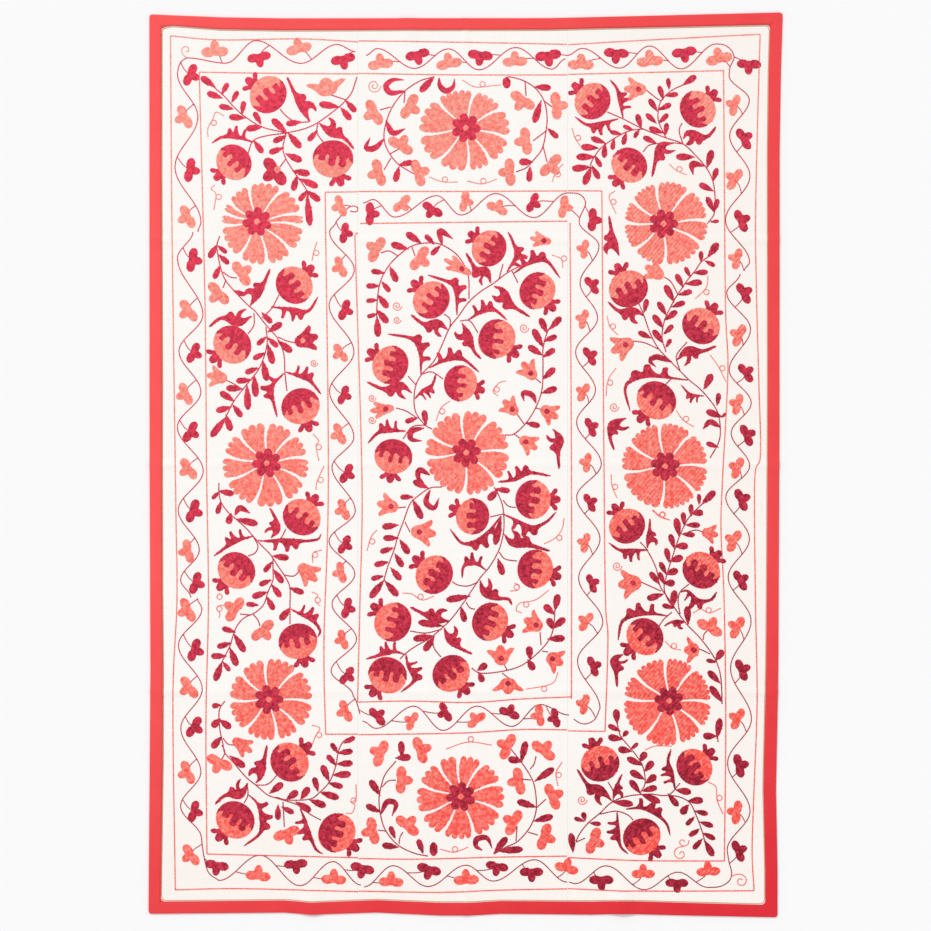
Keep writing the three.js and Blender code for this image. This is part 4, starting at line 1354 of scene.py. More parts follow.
# %% Top left
TOP_LEFT = {
    "stems": [
        [(248, 154), (253, 141), (266, 136), (286, 133), (304, 129), (319, 122), (339, 107), (346, 100),
         (352, 92), (357, 77)],
        [(204, 79), (223, 95), (233, 106), (244, 116), (262, 127), (286, 133)],
        [(309, 122), (296, 122), (286, 116), (280, 109)], [(318, 123), (317, 133), (324, 143)],
        [(331, 95), (346, 100)], [(286, 133), (283, 148), (286, 159), (294, 172), (307, 191), (308, 204)],
        [(286, 159), (280, 167)],
    ],
    "leaves": [
        (215, 87, 201, 77), (222, 94, 228, 83), (222, 98, 207, 93), (232, 102, 238, 91),
        (233, 109, 219, 106),
        (242, 114, 244, 101), (245, 118, 229, 117), (261, 124, 254, 112), (262, 127, 246, 129),
        (287, 133, 272, 119), (288, 133, 301, 148), (301, 122, 286, 124), (254, 141, 263, 153),
        (346, 101, 356, 112), (341, 108, 351, 120), (339, 107, 319, 104), (317, 131, 308, 141),
        (286, 136, 273, 142), (283, 148, 269, 153), (286, 154, 302, 161), (293, 171, 310, 174),
        (297, 176, 293, 191), (300, 179, 318, 187), (307, 191, 299, 201), (307, 191, 320, 201),
        (307, 194, 310, 226),
    ],
    "toothed": [
        ([(310, 122), (296, 96), (287, 77)], (308, 92)),
        ([(319, 123), (331, 133), (344, 138), (354, 149)], (345, 128)),
        ([(253, 142), (239, 138), (223, 137), (212, 143)], (229, 128)),
    ],
    "plain tulips": [(328, 96, 325, 78, 40)],
    "dark trefoils": [(274, 172, 13)],
    "curls": [
        [(224, 116), (216, 112), (213, 119), (208, 128), (208, 137)],
        [(215, 185), (211, 189), (216, 194), (214, 210)],
    ],
    "scrolls": [
        [(187, 58), (182.5, 54), (182, 49.5), (185, 46.5), (188.5, 48), (188.5, 51.5), (185.5, 51.5)],
    ],
}

# %% Top middle and top right
TOP_MIDDLE = {
    "stems": [
        [(434, 77), (420, 81), (405, 91), (393, 106), (386, 123), (384, 138), (388, 151), (398, 164),
         (414, 174)],
        [(405, 92), (404, 103)], [(391, 107), (380, 110)], [(390, 154), (399, 149)],
        [(391, 158), (384, 170)],
        [(503, 80), (509, 77), (524, 81), (536, 89), (544, 101), (547, 116), (546, 131), (542, 149),
         (532, 162)],
        [(525, 81), (526, 96)], [(544, 101), (552, 107)], [(546, 131), (533, 141)], [(543, 146), (547, 162)],
        [(532, 162), (526, 168), (516, 172)],
    ],
    "ribbons": [
        [(405, 91), (391, 93), (386, 86), (393, 80), (404, 80)], [(386, 121), (393, 133), (405, 129)],
        [(384, 139), (375, 148), (366, 148), (370, 138)],
        [(439, 78), (440, 86), (446, 91), (453, 87), (454.6, 79)],
    ],
    "leaves": [
        (434, 77, 420, 92), (399, 165, 413, 162), (399, 167, 395, 182), (535, 87, 551, 88),
        (541, 101, 534, 123), (548, 129, 558, 138), (530, 167, 529, 182),
    ],
    "broad": [(532, 162, 519, 162)],
    "beads": [(506.6, 83, 4, 5.5)],
    "trefoils": [
        (410, 107), (373.5, 113), (401, 145), (378, 173), (419, 173), (522, 101), (557, 106), (525, 141),
        (551, 166), (509, 172),
    ],
    "curls": [
        [(462, 80), (475, 87), (491, 86), (501, 85)],
        [(429, 177), (443, 182), (458, 182)], [(467, 181), (482, 184), (497, 179)],
        [(563, 164), (556, 172), (552, 182)],
    ],
    "spirals": [(374, 86, 7)],
}
TOP_RIGHT = {
    "stems": [
        [(607, 112), (623, 119), (643, 129), (666, 138), (683, 144), (696, 156), (707, 169), (713, 182),
         (715, 199), (714, 214), (707, 224)],
        [(666, 138), (659, 123), (658, 113), (661, 101), (671, 91), (683, 85)],
        [(682, 123), (679, 131), (683, 144)],
        [(643, 129), (629, 131), (615, 138), (601, 148), (593, 159), (590, 166)],
        [(643, 152), (648, 146), (654, 144), (672, 143), (683, 144)], [(646, 90), (656, 98), (661, 101)],
    ],
    "leaves": [
        (683, 85, 696, 76), (669, 89, 668, 78), (663, 99, 659, 86), (666, 96, 678, 94), (657, 111, 649, 99),
        (659, 110, 671, 104), (656, 123, 646, 114), (659, 123, 668, 114), (663, 133, 649, 128),
        (665, 135, 667, 123), (641, 128, 637, 114), (639, 130, 634, 138), (633, 130, 623, 126),
        (626, 133, 623, 145), (621, 134, 610, 132), (614, 139, 612, 150), (605, 143, 591, 138),
        (605, 144, 604, 158), (598, 148, 581, 147), (595, 157, 576, 157), (595, 156, 601, 167),
        (590, 167, 572, 169), (591, 167, 584, 185), (592, 166, 599, 179), (656, 143, 643, 137),
        (707, 167, 712, 150), (713, 181, 717, 168), (713, 191, 699, 184), (714, 211, 718, 199),
        (713, 211, 707, 197), (711, 222, 719, 221),
    ],
    "broad": [(694, 157, 676, 157)],
    "ribbons": [[(704, 166), (692, 164), (693, 175)]],
    "toothed": [
        ([(623, 118), (620, 103), (617, 89), (610, 80)], (632, 100)),
        ([(618, 119), (606, 122), (588, 125), (575, 117)], (598, 134)),
        ([(683, 139), (689, 133), (706, 137), (716, 127)], (704, 147)),
        ([(673, 143), (661, 146), (656, 159), (652, 177)], (670, 160)),
    ],
    "tulips": [(646, 89.5, 624, 89, 24)],
    "curls": [
        [(669, 164), (677, 171), (687, 175)], [(615, 191), (609, 197), (616, 214)],
        [(572, 128), (575, 138), (581, 147)],
    ],
}
print("top stems", len(TOP_LEFT["stems"]) + len(TOP_MIDDLE["stems"]) + len(TOP_RIGHT["stems"]))

# %% Left width, middle and lower parts
LEFT_MIDDLE = {
    "stems": [
        [(220, 236), (217, 245), (218, 255), (221, 269), (226, 281), (238, 295), (250, 307), (255, 311),
         (266, 325), (278, 339), (284, 355), (285, 373), (287, 391)],
        [(223, 272), (230, 277), (237, 278)], [(226, 280), (223, 288)], [(262, 318), (272, 308), (279, 295)],
        [(254, 313), (254, 325), (248, 334)], [(278, 337), (287, 341), (296, 343)],
        [(266, 327), (267, 345), (260, 367), (248, 383), (234, 401), (226, 417)],
        [(242, 389), (234, 384), (224, 379)],
    ],
    "leaves": [
        (217, 245, 209, 258), (218, 246, 227, 253), (219, 255, 229, 264), (220, 266, 214, 279),
        (234, 291, 245, 295), (262, 313, 272, 323), (268, 332, 282, 323), (278, 341, 292, 352),
        (268, 338, 278, 347), (226, 417, 211, 437), (266, 337, 257, 345), (268, 345, 273, 364),
        (265, 353, 253, 359), (263, 361, 267, 381), (258, 368, 245, 373), (254, 375, 256, 397),
        (251, 380, 236, 381), (247, 385, 248, 410), (242, 389, 226, 388), (234, 401, 220, 392),
        (231, 407, 216, 411), (233, 405, 242, 417), (226, 415, 231, 431),
    ],
    "toothed": [
        ([(250, 306), (262, 287), (270, 269)], (252, 282)),
        ([(271, 307), (292, 309), (308, 311), (318, 297)], (289, 324)),
        ([(252, 316), (238, 323), (222, 318), (209, 327)], (235, 305)),
        ([(286, 372), (298, 376), (310, 381), (321, 394)], (300, 361)),
        ([(284, 373), (272, 389), (277, 417)], (262, 399)),
    ],
    "trefoils": [(242, 273), (218, 294)],
    "dark tulips": [(295, 343, 318, 336, 26)],
    "plain tulips": [(227, 379, 207, 375, 22)],
    "curls": [
        [(313, 434), (319, 441), (316, 446), (319, 461)], [(324, 466), (317, 482), (316, 490)],
        [(317, 242), (314, 251), (312, 261)],
    ],
    "spirals": [(314, 363, 4)],
}
LEFT_LOWER = {
    "stems": [
        [(219, 483), (219, 491), (221, 502), (228, 512), (236, 519), (246, 528), (253, 536), (262, 546),
         (270, 554), (278, 566), (286, 578), (290, 588), (290, 606), (290, 624)],
        [(286, 529), (280, 539), (270, 542), (258, 540)], [(253, 536), (258, 546), (255, 553), (248, 556)],
        [(284, 575), (294, 576), (300, 570)],
        [(273, 558), (273, 570), (273, 580), (268, 592), (264, 604), (256, 612), (244, 618), (237, 626),
         (233, 636), (230, 646), (226, 654), (222, 662)],
        [(240, 614), (251, 615)], [(253, 614), (258, 620), (260, 626)],
    ],
    "leaves": [
        (219, 491, 234, 494), (219, 492, 212, 499), (221, 502, 217, 514), (236, 519, 258, 524),
        (273, 556, 289, 558), (272, 562, 264, 572), (274, 570, 283, 583), (271, 580, 259, 585),
        (272, 585, 281, 597), (267, 592, 252, 597), (267, 597, 274, 610), (258, 605, 246, 604),
        (235, 632, 222, 628), (234, 634, 245, 652), (231, 643, 217, 647), (230, 648, 237, 666),
        (226, 656, 211, 656), (223, 662, 230, 671), (290, 588, 304, 593),
    ],
    "broad": [(231, 514, 228, 524), (222, 662, 215, 681), (290, 608, 280, 620)],
    "ribbons": [[(235, 515), (240, 508), (250, 513)]],
    "toothed": [
        ([(271, 538), (277, 530), (276, 520), (270, 508)], (260, 524)),
        ([(260, 541), (284, 540), (306, 541), (318, 539), (321, 534)], (292, 552)),
        ([(253, 536), (240, 540), (228, 546), (214, 556)], (227, 532)),
        ([(291, 609), (300, 614), (312, 620), (320, 630), (318, 637)], (306, 606)),
    ],
    "trefoils": [(234, 609), (263, 631)],
    "plain tulips": [(299, 565, 317, 581, 25)],
    "curls": [
        [(322, 550), (313, 553), (313, 563)],
        [(312, 592), (318, 595), (315, 600), (320, 606)], [(220, 593), (217, 596), (218, 599)],
        [(227, 605), (218, 606), (217, 610), (220, 613), (219, 618)],
    ],
}
LEFT_FOOT = {
    "stems": [
        [(225, 701), (220, 708), (219, 716), (220, 730), (223, 744), (225, 753), (234, 763), (246, 777),
         (256, 785), (268, 795), (280, 799), (298, 805), (310, 814), (321, 820)],
        [(223, 738), (228, 744), (235, 745)], [(222, 745), (225, 752), (222, 759)],
        [(256, 785), (268, 784), (278, 774)], [(247, 783), (248, 795), (244, 803)],
        [(283, 802), (284.4, 827)],
        [(276, 797), (288, 800), (310, 799), (320, 792), (330, 781), (336, 765), (338, 753), (342, 743),
         (348, 738)],
    ],
    "leaves": [
        (278, 805, 278, 820), (282, 807, 294, 813), (296, 802, 311, 811), (318, 791, 314, 777),
        (320, 792, 339, 798), (329, 781, 322, 765), (329, 783, 343, 787), (333, 775, 351, 774),
        (336, 765, 327, 755), (337, 764, 353, 763), (338, 753, 331, 743), (338, 753, 353, 751),
        (344, 743, 355, 737),
    ],
    "broad": [
        (220, 705, 212, 706), (220, 719, 212, 727), (220, 720, 231, 728), (221, 737, 212, 748),
        (230, 756, 245, 767), (270, 793, 283, 783), (287, 799, 298, 791), (301, 799, 309, 787),
        (310, 800, 326, 806),
    ],
    "toothed": [
        ([(248, 783), (240, 795), (226, 795), (215, 804)], (230, 779)),
        ([(256, 783), (260, 777), (264, 761), (267, 745)], (250, 765)),
        ([(249, 795), (257, 803), (261, 817), (260, 833), (244, 846)], (275, 818)),
        ([(300, 809), (304, 817), (310, 835), (316, 849), (323, 854)], (297, 828)),
    ],
    "trefoils": [(219, 763), (287, 834)],
    "plain tulips": [(233, 739, 252, 752, 20)],
    "curls": [
        [(312, 725), (320, 728), (316, 735), (312, 745)],
        [(356, 784), (356, 799), (351, 802), (355, 805), (352, 813), (346, 813)],
    ],
}
print("leaves at the left", sum(len(part["leaves"]) for part in (LEFT_MIDDLE, LEFT_LOWER, LEFT_FOOT)))

# %% Middle width, upper half of the field
CENTRE_UPPER = {
    "stems": [
        [(432, 429), (425, 425), (416, 413), (414, 399), (416, 385), (422, 374), (434, 361), (442, 345),
         (450, 327), (458, 317), (468, 303), (480, 292), (494, 283), (507, 273), (520, 266)],
        [(377, 329), (377, 305), (380, 283), (388, 267), (398, 256), (412, 246), (428, 243), (442, 245),
         (458, 256), (468, 275), (469, 299)],
        [(398, 256), (389, 251), (381, 253)], [(412, 247), (415, 256)], [(499, 279), (503, 264)],
        [(512, 271), (518, 283)], [(450, 327), (450, 319), (444, 314)], [(460, 321), (470, 321), (478, 333)],
        [(416, 385), (408, 376)], [(422, 374), (432, 372), (443, 379)], [(425, 425), (412, 427), (403, 439)],
        [(417, 418), (406, 411), (396, 408)], [(505, 435), (514, 434), (526, 423), (536, 407), (542, 389),
                                               (543, 365), (543, 349), (547, 333), (553, 323)],
        [(541, 383), (535, 378)], [(524, 424), (517, 414)], [(536, 408), (543, 410)],
        [(514, 434), (521, 439)],
    ],
    "leaves": [
        (408, 249, 391, 244), (421, 243, 406, 233), (434, 244, 425, 235), (440, 246, 431, 255),
        (384, 273, 371, 271), (390, 267, 397, 282), (379, 286, 366, 286), (382, 282, 390, 292),
        (377, 300, 366, 301), (378, 295, 388, 308), (377, 314, 367, 317), (377, 310, 388, 323),
        (377, 317, 378, 337), (417, 418, 405, 422), (426, 425, 424, 410), (550, 329, 561, 317),
        (547, 333, 540, 318), (544, 341, 557, 336), (543, 347, 533, 329), (543, 357, 555, 349),
        (542, 355, 528, 346), (543, 379, 555, 368), (542, 393, 557, 388), (526, 423, 540, 426),
    ],
    "ribbons": [
        [(442, 245), (440, 231), (453, 239)], [(424, 428), (412, 431), (411, 439), (422, 441)],
        [(430, 475), (420, 470), (418, 477), (424, 483)], [(536, 403), (532, 395), (523, 393), (524, 401)],
    ],
    "toothed": [
        ([(491, 283), (486, 271), (476, 269), (466, 253)], (466, 272)),
        ([(507, 272), (516, 255), (512, 240), (508, 232)], (525, 248)),
        ([(513, 274), (528, 264), (546, 261), (560, 278)], (542, 252)),
        ([(494, 286), (503, 291), (512, 305), (530, 317)], (502, 310)),
        ([(457, 315), (456, 293), (450, 283), (428, 275)], (464, 288)),
        ([(448, 330), (438, 323), (424, 324), (411, 315)], (434, 337)),
        ([(468, 320), (480, 313), (494, 310), (507, 320)], (488, 302)),
        ([(462, 323), (469, 337), (474, 351), (481, 359)], (462, 346)),
        ([(421, 375), (420, 353), (412, 339), (388, 334)], (428, 345)),
        ([(412, 393), (400, 385), (384, 389), (367, 382)], (398, 401)),
        ([(429, 368), (444, 361), (462, 359), (479, 372)], (454, 351)),
        ([(406, 431), (390, 431), (378, 433), (368, 443)], (386, 421)),
        ([(415, 399), (422, 391), (432, 385), (436, 374)], (436, 392)),
        ([(498, 482), (514, 480), (530, 473), (551, 476)], (520, 468)),
        ([(553, 429), (560, 439), (558, 451), (559, 469)], (549, 442)),
    ],
    "trefoils": [(376, 249), (420, 259)],
    "tulips": [
        (471, 274, 444, 259, 16), (394, 408, 370, 411, 17), (551, 242, 530, 238, 16),
        (535, 379, 522, 362, 23),
        (517, 414, 503, 400, 22), (541, 408, 558, 418, 23), (520, 438, 537, 449, 22),
    ],
    "curls": [
        [(450, 401), (441, 408), (436, 421)], [(506, 381), (499, 383), (493, 391), (498, 396)],
        [(552, 255), (561, 259), (563, 268)],
    ],
    "spirals": [(397, 306, 5), (397, 320, 4), (372, 398, 4), (372, 420, 4), (524, 328, 5)],
}
print("toothed leaves", len(CENTRE_UPPER["toothed"]))

# %% Middle width, lower half of the field
CENTRE_LOWER = {
    "stems": [
        [(494, 487), (499, 496), (503, 508), (504, 526), (502, 540), (498, 552), (490, 566), (480, 578),
         (472, 590), (464, 602), (452, 618), (442, 628), (430, 638), (416, 646), (406, 653), (400, 659)],
        [(503, 500), (508, 506), (516, 507.6)], [(503, 514), (490, 517)],
        [(499, 552), (505, 559), (517, 561)],
        [(478, 582), (468, 586), (458, 585), (452, 581.6)], [(466, 602), (470, 608), (475, 609)],
        [(442, 629), (426, 633), (410, 631)], [(433, 640), (434, 648), (441, 657)],
        [(442, 487), (430, 488), (418, 496), (410, 504), (404, 520), (398, 536), (394, 550), (388, 566),
         (384, 580)],
        [(396, 508), (406, 507)], [(405, 522), (410, 532)],
        [(555, 608), (553, 630), (546, 644), (532, 658), (518, 667), (498, 672), (480, 673), (471.6, 668)],
        [(504, 664), (507, 670)], [(542, 651), (548, 652)], [(502, 673), (510, 679)],
        [(540, 632), (541, 645)],
    ],
    "leaves": [
        (496, 489, 510, 491), (501, 517, 495, 545), (498, 559, 503, 575), (470, 596, 446, 600),
        (461, 607, 465, 622), (443, 626, 418, 622), (434, 636, 413, 639), (434, 637, 424, 651),
        (428, 488, 413, 481), (413, 497, 400, 497), (398, 525, 382, 527), (398, 538, 383, 538),
        (400, 540, 409, 554), (393, 548, 380, 552), (395, 554, 403, 567), (388, 562, 374, 565),
        (391, 568, 401, 580), (383, 576, 371, 579), (385, 581, 398, 596), (384, 580, 370, 598),
    ],
    "broad": [
        (498, 490, 488, 500), (413, 500, 422, 519), (555, 610, 558, 594), (554, 614, 544, 605),
        (553, 629, 548, 618), (553, 628, 565, 618), (548, 639, 565, 638), (530, 659, 529, 646),
        (528, 660, 534, 670), (478, 670, 487, 664), (479, 673, 483, 682),
    ],
    "ribbons": [[(430, 490), (426, 502), (434, 508), (439, 498)]],
    "toothed": [
        ([(503, 514), (516, 520), (532, 527), (546, 522), (556, 512)], (532, 537)),
        ([(501, 516), (490, 530), (476, 541), (462, 543), (450, 529)], (478, 552)),
        ([(504, 534), (512, 543), (528, 545), (550, 551)], (520, 534)),
        ([(486, 570), (476, 564), (464, 566), (462, 578)], (472, 552)),
        ([(480, 580), (484, 592), (496, 598), (508, 599), (512, 605)], (500, 584)),
        ([(450, 621), (438, 620), (428, 616), (410, 607)], (436, 604)),
        ([(444, 628), (450, 640), (460, 648), (472, 654)], (464, 634)),
        ([(404, 654), (396, 652), (384, 654), (366, 659)], (392, 643)),
        ([(406, 654), (408, 666), (414, 680), (401, 692)], (424, 664)),
    ],
    "tulips": [
        (398, 508, 377, 503, 24), (411, 531, 436, 534, 27), (542, 628, 524, 619, 26),
        (502, 665, 500, 645, 28),
        (547, 656, 563, 664, 26), (508, 678, 508, 694, 32),
    ],
    "curls": [
        [(377, 530), (371, 537), (367, 551)],
        [(402, 593), (412, 594), (422, 600), (434, 596)],
        [(510, 591), (518, 590), (519, 585), (514, 583)],
        [(549, 590), (535, 600), (520, 603), (516, 610), (522, 613)],
        [(564, 518), (562, 529), (555, 538), (544, 544)],
        [(558, 672), (554, 682), (544, 686), (526, 689)],
    ],
}
print("tulips", len(CENTRE_LOWER["tulips"]))

# %% Right width
RIGHT_UPPER = {
    "stems": [
        [(666, 352), (662, 338), (664, 322), (671, 306), (678, 294), (689, 278), (695, 271), (701, 262),
         (708, 257)],
        [(639, 304), (644, 316), (650, 333), (658, 348), (669, 360), (678, 369), (689, 380), (702, 391),
         (716, 409), (720, 425), (719, 441), (710, 458)],
        [(664, 277), (671, 282), (678, 295)], [(658, 349), (645, 343), (633, 341)],
        [(687, 342), (677, 354), (677, 362), (680, 370)], [(671, 379), (665, 385)], [(688, 380), (671, 378)],
    ],
    "leaves": [
        (701, 262, 701, 251), (705, 261, 715, 266), (694, 273, 708, 272), (690, 277, 685, 267),
        (686, 284, 702, 282), (683, 287, 676, 274), (679, 295, 692, 291), (674, 302, 665, 285),
        (672, 307, 685, 302), (666, 315, 658, 302), (665, 320, 677, 311), (663, 328, 653, 315),
        (664, 334, 673, 325), (663, 343, 653, 330), (666, 347, 671, 339), (644, 312, 647, 299),
        (651, 338, 638, 332), (717, 405, 719, 393), (722, 417, 706, 411), (722, 417, 726, 413),
        (718, 447, 706, 443),
    ],
    "broad": [(708, 257, 718, 243), (704, 389, 712, 374)],
    "ribbons": [
        [(672, 362), (657, 357), (650, 361), (656, 367)], [(720, 427), (710, 422), (703, 429)],
    ],
    "toothed": [
        ([(619, 256), (613, 239), (609, 216)], (602, 240)),
        ([(644, 316), (635, 311), (619, 311), (608, 302)], (624, 322)),
        ([(677, 360), (688, 350), (703, 351), (716, 346)], (702, 362)),
        ([(686, 380), (671, 378), (648, 376), (631, 381), (625, 390), (630, 411)], (636, 364)),
        ([(704, 396), (690, 394), (681, 385)], (690, 408)),
        ([(626, 418), (612, 425), (610, 437), (614, 450)], (625, 434)),
    ],
    "plain tulips": [(663, 277, 645, 266, 24)],
    "tulips": [(633, 341, 611, 352, 27)],
    "curls": [
        [(708, 276), (706, 288), (695, 299)],
        [(607, 316), (610, 327), (618, 335)], [(616, 368), (608, 380), (606, 396)],
        [(710, 355), (718, 366), (726, 382)], [(676, 410), (683, 420), (694, 427)],
        [(611, 474), (612, 486), (617, 498)], [(653, 510), (660, 516), (669, 520)],
    ],
    "spirals": [(614, 407, 5)],
}
RIGHT_LOWER = {
    "stems": [
        [(640, 542), (647, 550), (656, 568), (660, 586), (668, 598), (684, 621), (700, 638), (712, 654),
         (718, 666), (721, 680), (722, 704)],
        [(702, 504), (690, 516), (684, 526), (678, 540), (672, 558), (667, 574), (664, 588), (668, 600),
         (674, 608)],
        [(689, 584), (680, 592), (678, 602), (680, 614)], [(688, 532), (696, 530), (703, 532)],
        [(641, 582), (652, 587), (661, 591)], [(659, 626), (664, 619), (672, 612)],
        [(703, 640), (704, 634), (707, 631)], [(696, 648), (702, 650), (710, 654)],
        [(719, 718), (717, 730), (718, 742)],
    ],
    "leaves": [
        (699, 504, 699, 494), (691, 516, 691, 504), (686, 525, 700, 525), (684, 525, 683, 512),
        (682, 534, 695, 535), (679, 536, 676, 518), (674, 548, 670, 534), (669, 562, 666, 548),
        (666, 574, 660, 562), (664, 584, 659, 572), (659, 584, 650, 572), (663, 594, 647, 599),
        (672, 608, 675, 590), (674, 608, 662, 605), (688, 624, 687, 606), (716, 662, 706, 660),
        (720, 683, 708, 671), (717, 738, 720, 718),
    ],
    "broad": [
        (702, 504, 715, 491), (693, 514, 703, 512), (675, 546, 688, 546), (670, 561, 683, 557),
        (666, 574, 678, 570), (664, 583, 675, 583), (716, 660, 723, 650), (722, 702, 710, 686),
        (716, 736, 703, 736),
    ],
    "toothed": [
        ([(647, 548), (649, 536), (650, 519)], (662, 536)),
        ([(648, 550), (636, 550), (620, 550), (609, 543)], (630, 563)),
        ([(680, 592), (688, 591), (698, 600), (710, 600), (717, 592)], (694, 610)),
        ([(668, 616), (654, 614), (636, 615), (622, 622), (618, 640)], (636, 603)),
        ([(686, 622), (672, 622), (664, 626)], (680, 636)),
        ([(623, 654), (614, 660), (616, 672), (617, 687)], (628, 668)),
    ],
    "trefoils": [(710, 627)],
    "plain tulips": [(702, 532, 718, 535, 20)],
    "tulips": [(641, 582, 618, 585, 30), (699, 650, 684, 650, 27)],
    "curls": [
        [(652, 510), (660, 517), (670, 520)],
        [(693, 613), (701, 609), (709, 613), (721, 608)],
        [(665, 641), (672, 648), (681, 650)],
    ],
    "spirals": [(617, 566, 5)],
}
RIGHT_FOOT = {
    "stems": [
        [(617, 723), (620, 735), (626, 743), (636, 755), (643, 767), (645, 783), (640, 793)],
        [(576, 841), (580, 833), (588, 823), (600, 813), (612, 802), (628, 796), (650, 794), (668, 795),
         (680, 783)],
        [(600, 814), (616, 811), (628, 815), (633, 820)], [(608, 782), (613, 791), (613, 802)],
        [(576, 842), (585, 838)], [(668, 795), (680, 797), (690, 803), (696, 815), (702, 831), (705, 843)],
    ],
    "leaves": [
        (620, 731, 608, 725), (631, 749, 638, 743), (642, 765, 627, 758), (640, 793, 630, 780),
        (642, 791, 657, 787), (641, 794, 660, 802), (613, 802, 633, 804), (584, 821, 574, 818),
        (590, 823, 601, 824), (573, 852, 571, 833), (668, 794, 678, 806), (695, 811, 708, 814),
        (694, 817, 686, 825), (700, 822, 713, 826), (699, 829, 689, 836), (703, 833, 715, 839),
        (702, 839, 693, 849),
    ],
    "broad": [
        (617, 723, 616, 709), (622, 739, 608, 737), (623, 736, 628, 731), (631, 751, 618, 749),
        (640, 761, 646, 752), (644, 779, 630, 771), (645, 771, 653, 761), (646, 783, 656, 775),
        (585, 820, 583, 812), (676, 790, 691, 792), (688, 801, 703, 800), (688, 805, 681, 814),
        (705, 841, 713, 856),
    ],
    "toothed": [
        ([(612, 801), (600, 789), (588, 785), (577, 769)], (588, 796)),
        ([(613, 799), (618, 783), (622, 774)], (629, 790)),
        ([(617, 812), (618, 827), (620, 845), (628, 854)], (607, 832)),
        ([(626, 809), (640, 808), (654, 813), (666, 823), (670, 835)], (665, 808)),
        ([(675, 790), (672, 773), (668, 761), (671, 749)], (658, 766)),
    ],
    "trefoils": [(594, 841)],
    "curls": [
        [(645, 750), (655, 746), (672, 746)],
        [(708, 782), (716, 787), (717, 800), (723, 814)],
    ],
    "spirals": [(582, 800, 5)],
    "scrolls": [
        [(732, 876), (736, 874.4), (741, 874.2), (745.6, 877.4), (746, 882), (743, 885), (738.6, 884.4),
         (737.6, 880.4), (740, 878.4), (742.4, 880)],
        [(689, 840), (688, 844), (684, 846), (680, 844), (680, 840.6), (683, 839.6), (684.6, 841.6)],
        [(684, 846), (677, 848), (674.4, 852), (676, 857), (680.6, 858.4), (684, 856), (683.6, 852.4),
         (680.6, 851.6), (679.4, 854)],
    ],
}
print("broad leaves at the right", len(RIGHT_LOWER["broad"]) + len(RIGHT_FOOT["broad"]))

# %% Bottom middle
BOTTOM_MIDDLE = {
    "stems": [
        [(428, 856), (414, 853), (398, 845), (386, 831), (381, 817), (379, 799), (382, 783), (386, 773),
         (396, 761)],
        [(382, 787), (388, 781), (396, 780)], [(386, 831), (378, 830)], [(399, 844), (400, 837), (403, 832)],
        [(494, 854), (506, 847), (518, 841), (530, 827), (536, 811), (535.6, 793), (532, 779),
         (522, 763), (510, 748)],
        [(536, 756), (534, 764), (530, 769)], [(522, 779), (531, 780)], [(546, 799), (536, 808)],
        [(517, 826), (516, 841)], [(538, 835), (528, 832)],
    ],
    "leaves": [
        (402, 757, 401, 741), (380, 795, 370, 780), (380, 812, 366, 805), (395, 838, 390, 826),
        (398, 847, 382, 845), (423, 853, 418, 839), (521, 762, 526, 741), (534, 821, 553, 816),
        (498, 851, 523, 849),
    ],
    "broad": [
        (396, 758, 411, 757), (522, 761, 508, 759), (535, 781, 554, 768), (536, 807, 517, 801),
        (494, 853, 507, 837),
    ],
    "ribbons": [
        [(381, 814), (387, 802), (396, 804), (392, 816)],
        [(482, 850), (476, 846), (477, 839), (487, 838), (492, 848)],
    ],
    "beads": [(433.6, 849, 4, 7)],
    "trefoils": [
        (380, 753), (421, 750), (402, 780), (372, 831), (408, 825), (507, 746), (544, 750), (518, 781),
        (553, 796), (513, 822), (545, 837),
    ],
    "curls": [
        [(440, 849), (454, 852), (468, 847)], [(446, 749), (468, 742), (492, 745)],
        [(562, 762), (556, 773), (558, 786)],
    ],
}
FIELD = {
    "top_left": TOP_LEFT, "top_middle": TOP_MIDDLE, "top_right": TOP_RIGHT, "left_middle": LEFT_MIDDLE,
    "left_lower": LEFT_LOWER, "left_foot": LEFT_FOOT, "centre_upper": CENTRE_UPPER,
    "centre_lower": CENTRE_LOWER, "right_upper": RIGHT_UPPER, "right_lower": RIGHT_LOWER,
    "right_foot": RIGHT_FOOT, "bottom_middle": BOTTOM_MIDDLE,
}
print("stems of the field", sum(len(part["stems"]) for part in FIELD.values()))

# %% [markdown]
# ## Sew the field
# In each part the stems and curls are single chain lines, and everything else is filled.
# A leaf is filled along its length, as the sewing was done, so that its rows catch the
# light in another direction than those of its neighbour.

# %% The outlines and lines that the tables ask for
# A narrow and a broad leaf are this wide, as a share of their length.
NARROW, BROAD = 0.38, 0.58
CRESCENT_WIDE = 13
TREFOIL_SIZE = 11.0
EYE_AT, EYE_RADIUS = 0.34, 6.5
STEM_HALF_WIDE, CURL_HALF_WIDE, CURL_STEP = 1.85, 1.5, 3.8
LOOP_AT, LOOP_RADIUS = 0.55, 6.5


def own_tone():
    return varied(0.08)


def heading(start, end):
    return math.atan2(end[1] - start[1], end[0] - start[0])


def spiral(x, y, radius):
    turns = np.linspace(0, 3.6 * math.pi, 26)
    reach = radius * (1 - 0.24 * turns / math.pi)
    return np.column_stack([x + reach * np.cos(turns), y + reach * np.sin(turns)])


def with_loop(points):
    line = along_line(smooth_line(cloth_mm(points)), 1.5)
    at = int(LOOP_AT * len(line))
    turn = heading(line[at - 1], line[at + 1]) - math.pi / 2
    angles = turn + np.linspace(0, 2 * math.pi, 16)
    centre = line[at] - LOOP_RADIUS * np.array([math.cos(turn), math.sin(turn)])
    loop = centre + LOOP_RADIUS * np.column_stack([np.cos(angles), np.sin(angles)])
    return np.vstack([line[:at], loop, line[at + 1:]])


print("points of a spiral", len(spiral(0, 0, 5)))


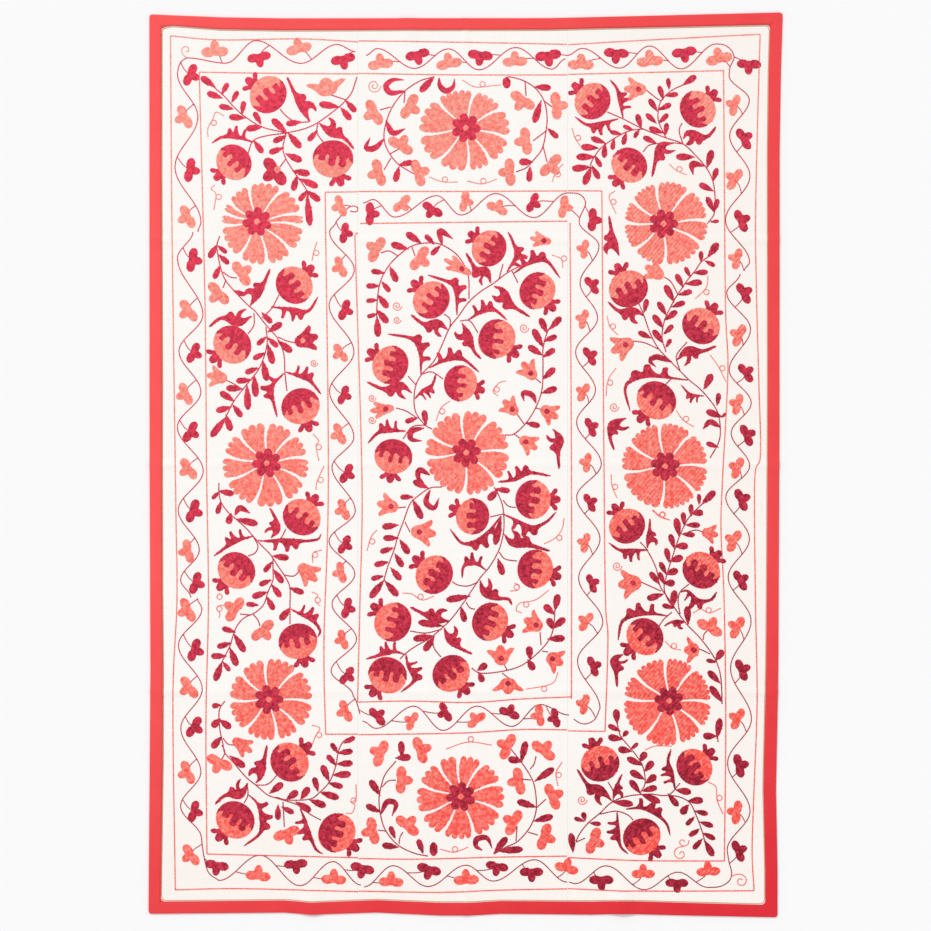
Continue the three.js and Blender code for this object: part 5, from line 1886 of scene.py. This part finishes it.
# %% Sew the leaves and the blooms of one part
def sew_leaves(part, work):
    for share, rows in ((NARROW, part.get("leaves", [])), (BROAD, part.get("broad", []))):
        for x0, y0, x1, y1 in rows:
            base, tip = cloth_mm([(x0, y0), (x1, y1)])
            fill(work, leaf(base, tip, share), heading(base, tip), CRIMSON, own_tone())
    for spine in part.get("ribbons", []):
        spots = cloth_mm(spine)
        fill(work, ribbon(spots, CRESCENT_WIDE), heading(spots[0], spots[-1]), CRIMSON, own_tone())
    for spine, crest in part.get("toothed", []):
        spots = cloth_mm(spine)
        shape = toothed(spots, cloth_mm(crest)[0])
        fill(work, shape, heading(spots[0], spots[-1]), CRIMSON, own_tone())
    for x, y, wide, tall in part.get("beads", []):
        oval = lobed((0, 0), 1, 5, 1.0) * (wide * PIXEL, tall * PIXEL) + cloth_mm((x, y))[0]
        fill(work, oval, math.pi / 2, CRIMSON, own_tone())


def sew_blooms(part, work):
    for x, y in part.get("trefoils", []):
        root = min((line[-1] for line in part["stems"]), key=lambda end: math.dist(end, (x, y)))
        away = math.atan2(root[1] - y, x - root[0])
        turn = away + math.pi / 2 + 0.4 * (random.random() - 0.5)
        hand = -1 if random.random() < 0.5 else 1
        turn = turn if hand < 0 else turn + math.pi
        shape = trefoil(cloth_mm((x, y))[0], turn, TREFOIL_SIZE * PIXEL, hand)
        fill(work, shape, turn, CORAL, own_tone())
    for x, y, size in part.get("dark trefoils", []):
        centre = cloth_mm((x, y))[0]
        fill(work, trefoil(centre, -1.0, size * PIXEL, -1), -1.0, CRIMSON, own_tone())
        fill(work, lobed(centre + (8, 6), 8, 4, 0.9), 0.0, CORAL, own_tone(), lift=0.3)
    for kind, thread in (("tulips", CORAL), ("plain tulips", CORAL), ("dark tulips", CRIMSON)):
        for x0, y0, x1, y1, across in part.get(kind, []):
            base, tip = cloth_mm([(x0, y0), (x1, y1)])
            turn, length = heading(base, tip), np.hypot(*(tip - base))
            fill(work, tulip(base, turn, length, across * PIXEL), turn, thread, own_tone())
            if kind != "plain tulips":
                eye = lobed(base + EYE_AT * (tip - base), EYE_RADIUS, 4, 0.9)
                other = CORAL if thread == CRIMSON else CRIMSON
                fill(work, eye, 0.0, other, own_tone(), lift=0.3)


print("sewing", len(FIELD), "parts of the field")

# %% Sew every part, in the order of its table
for name, part in FIELD.items():
    lines, leaves, blooms = Needlework(), Needlework(), Needlework()
    for line in part["stems"]:
        chain(lines, smooth_line(cloth_mm(line)), STEM_HALF_WIDE, CRIMSON)
    curls = [with_loop(line) for line in part.get("curls", [])]
    curls += [smooth_line(cloth_mm(line)) for line in part.get("scrolls", [])]
    curls += [cloth_mm(spiral(*row)) for row in part.get("spirals", [])]
    for line in curls:
        chain(lines, line, CURL_HALF_WIDE, CORAL, LINE_TONE, CURL_STEP)
    sew_leaves(part, leaves)
    sew_blooms(part, blooms)
    sew("silk_stems_" + name, lines, "crimson_silk")
    sew("silk_leaves_" + name, leaves, "crimson_silk")
    if blooms.stitches:
        sew("silk_blooms_" + name, blooms, "coral_silk")
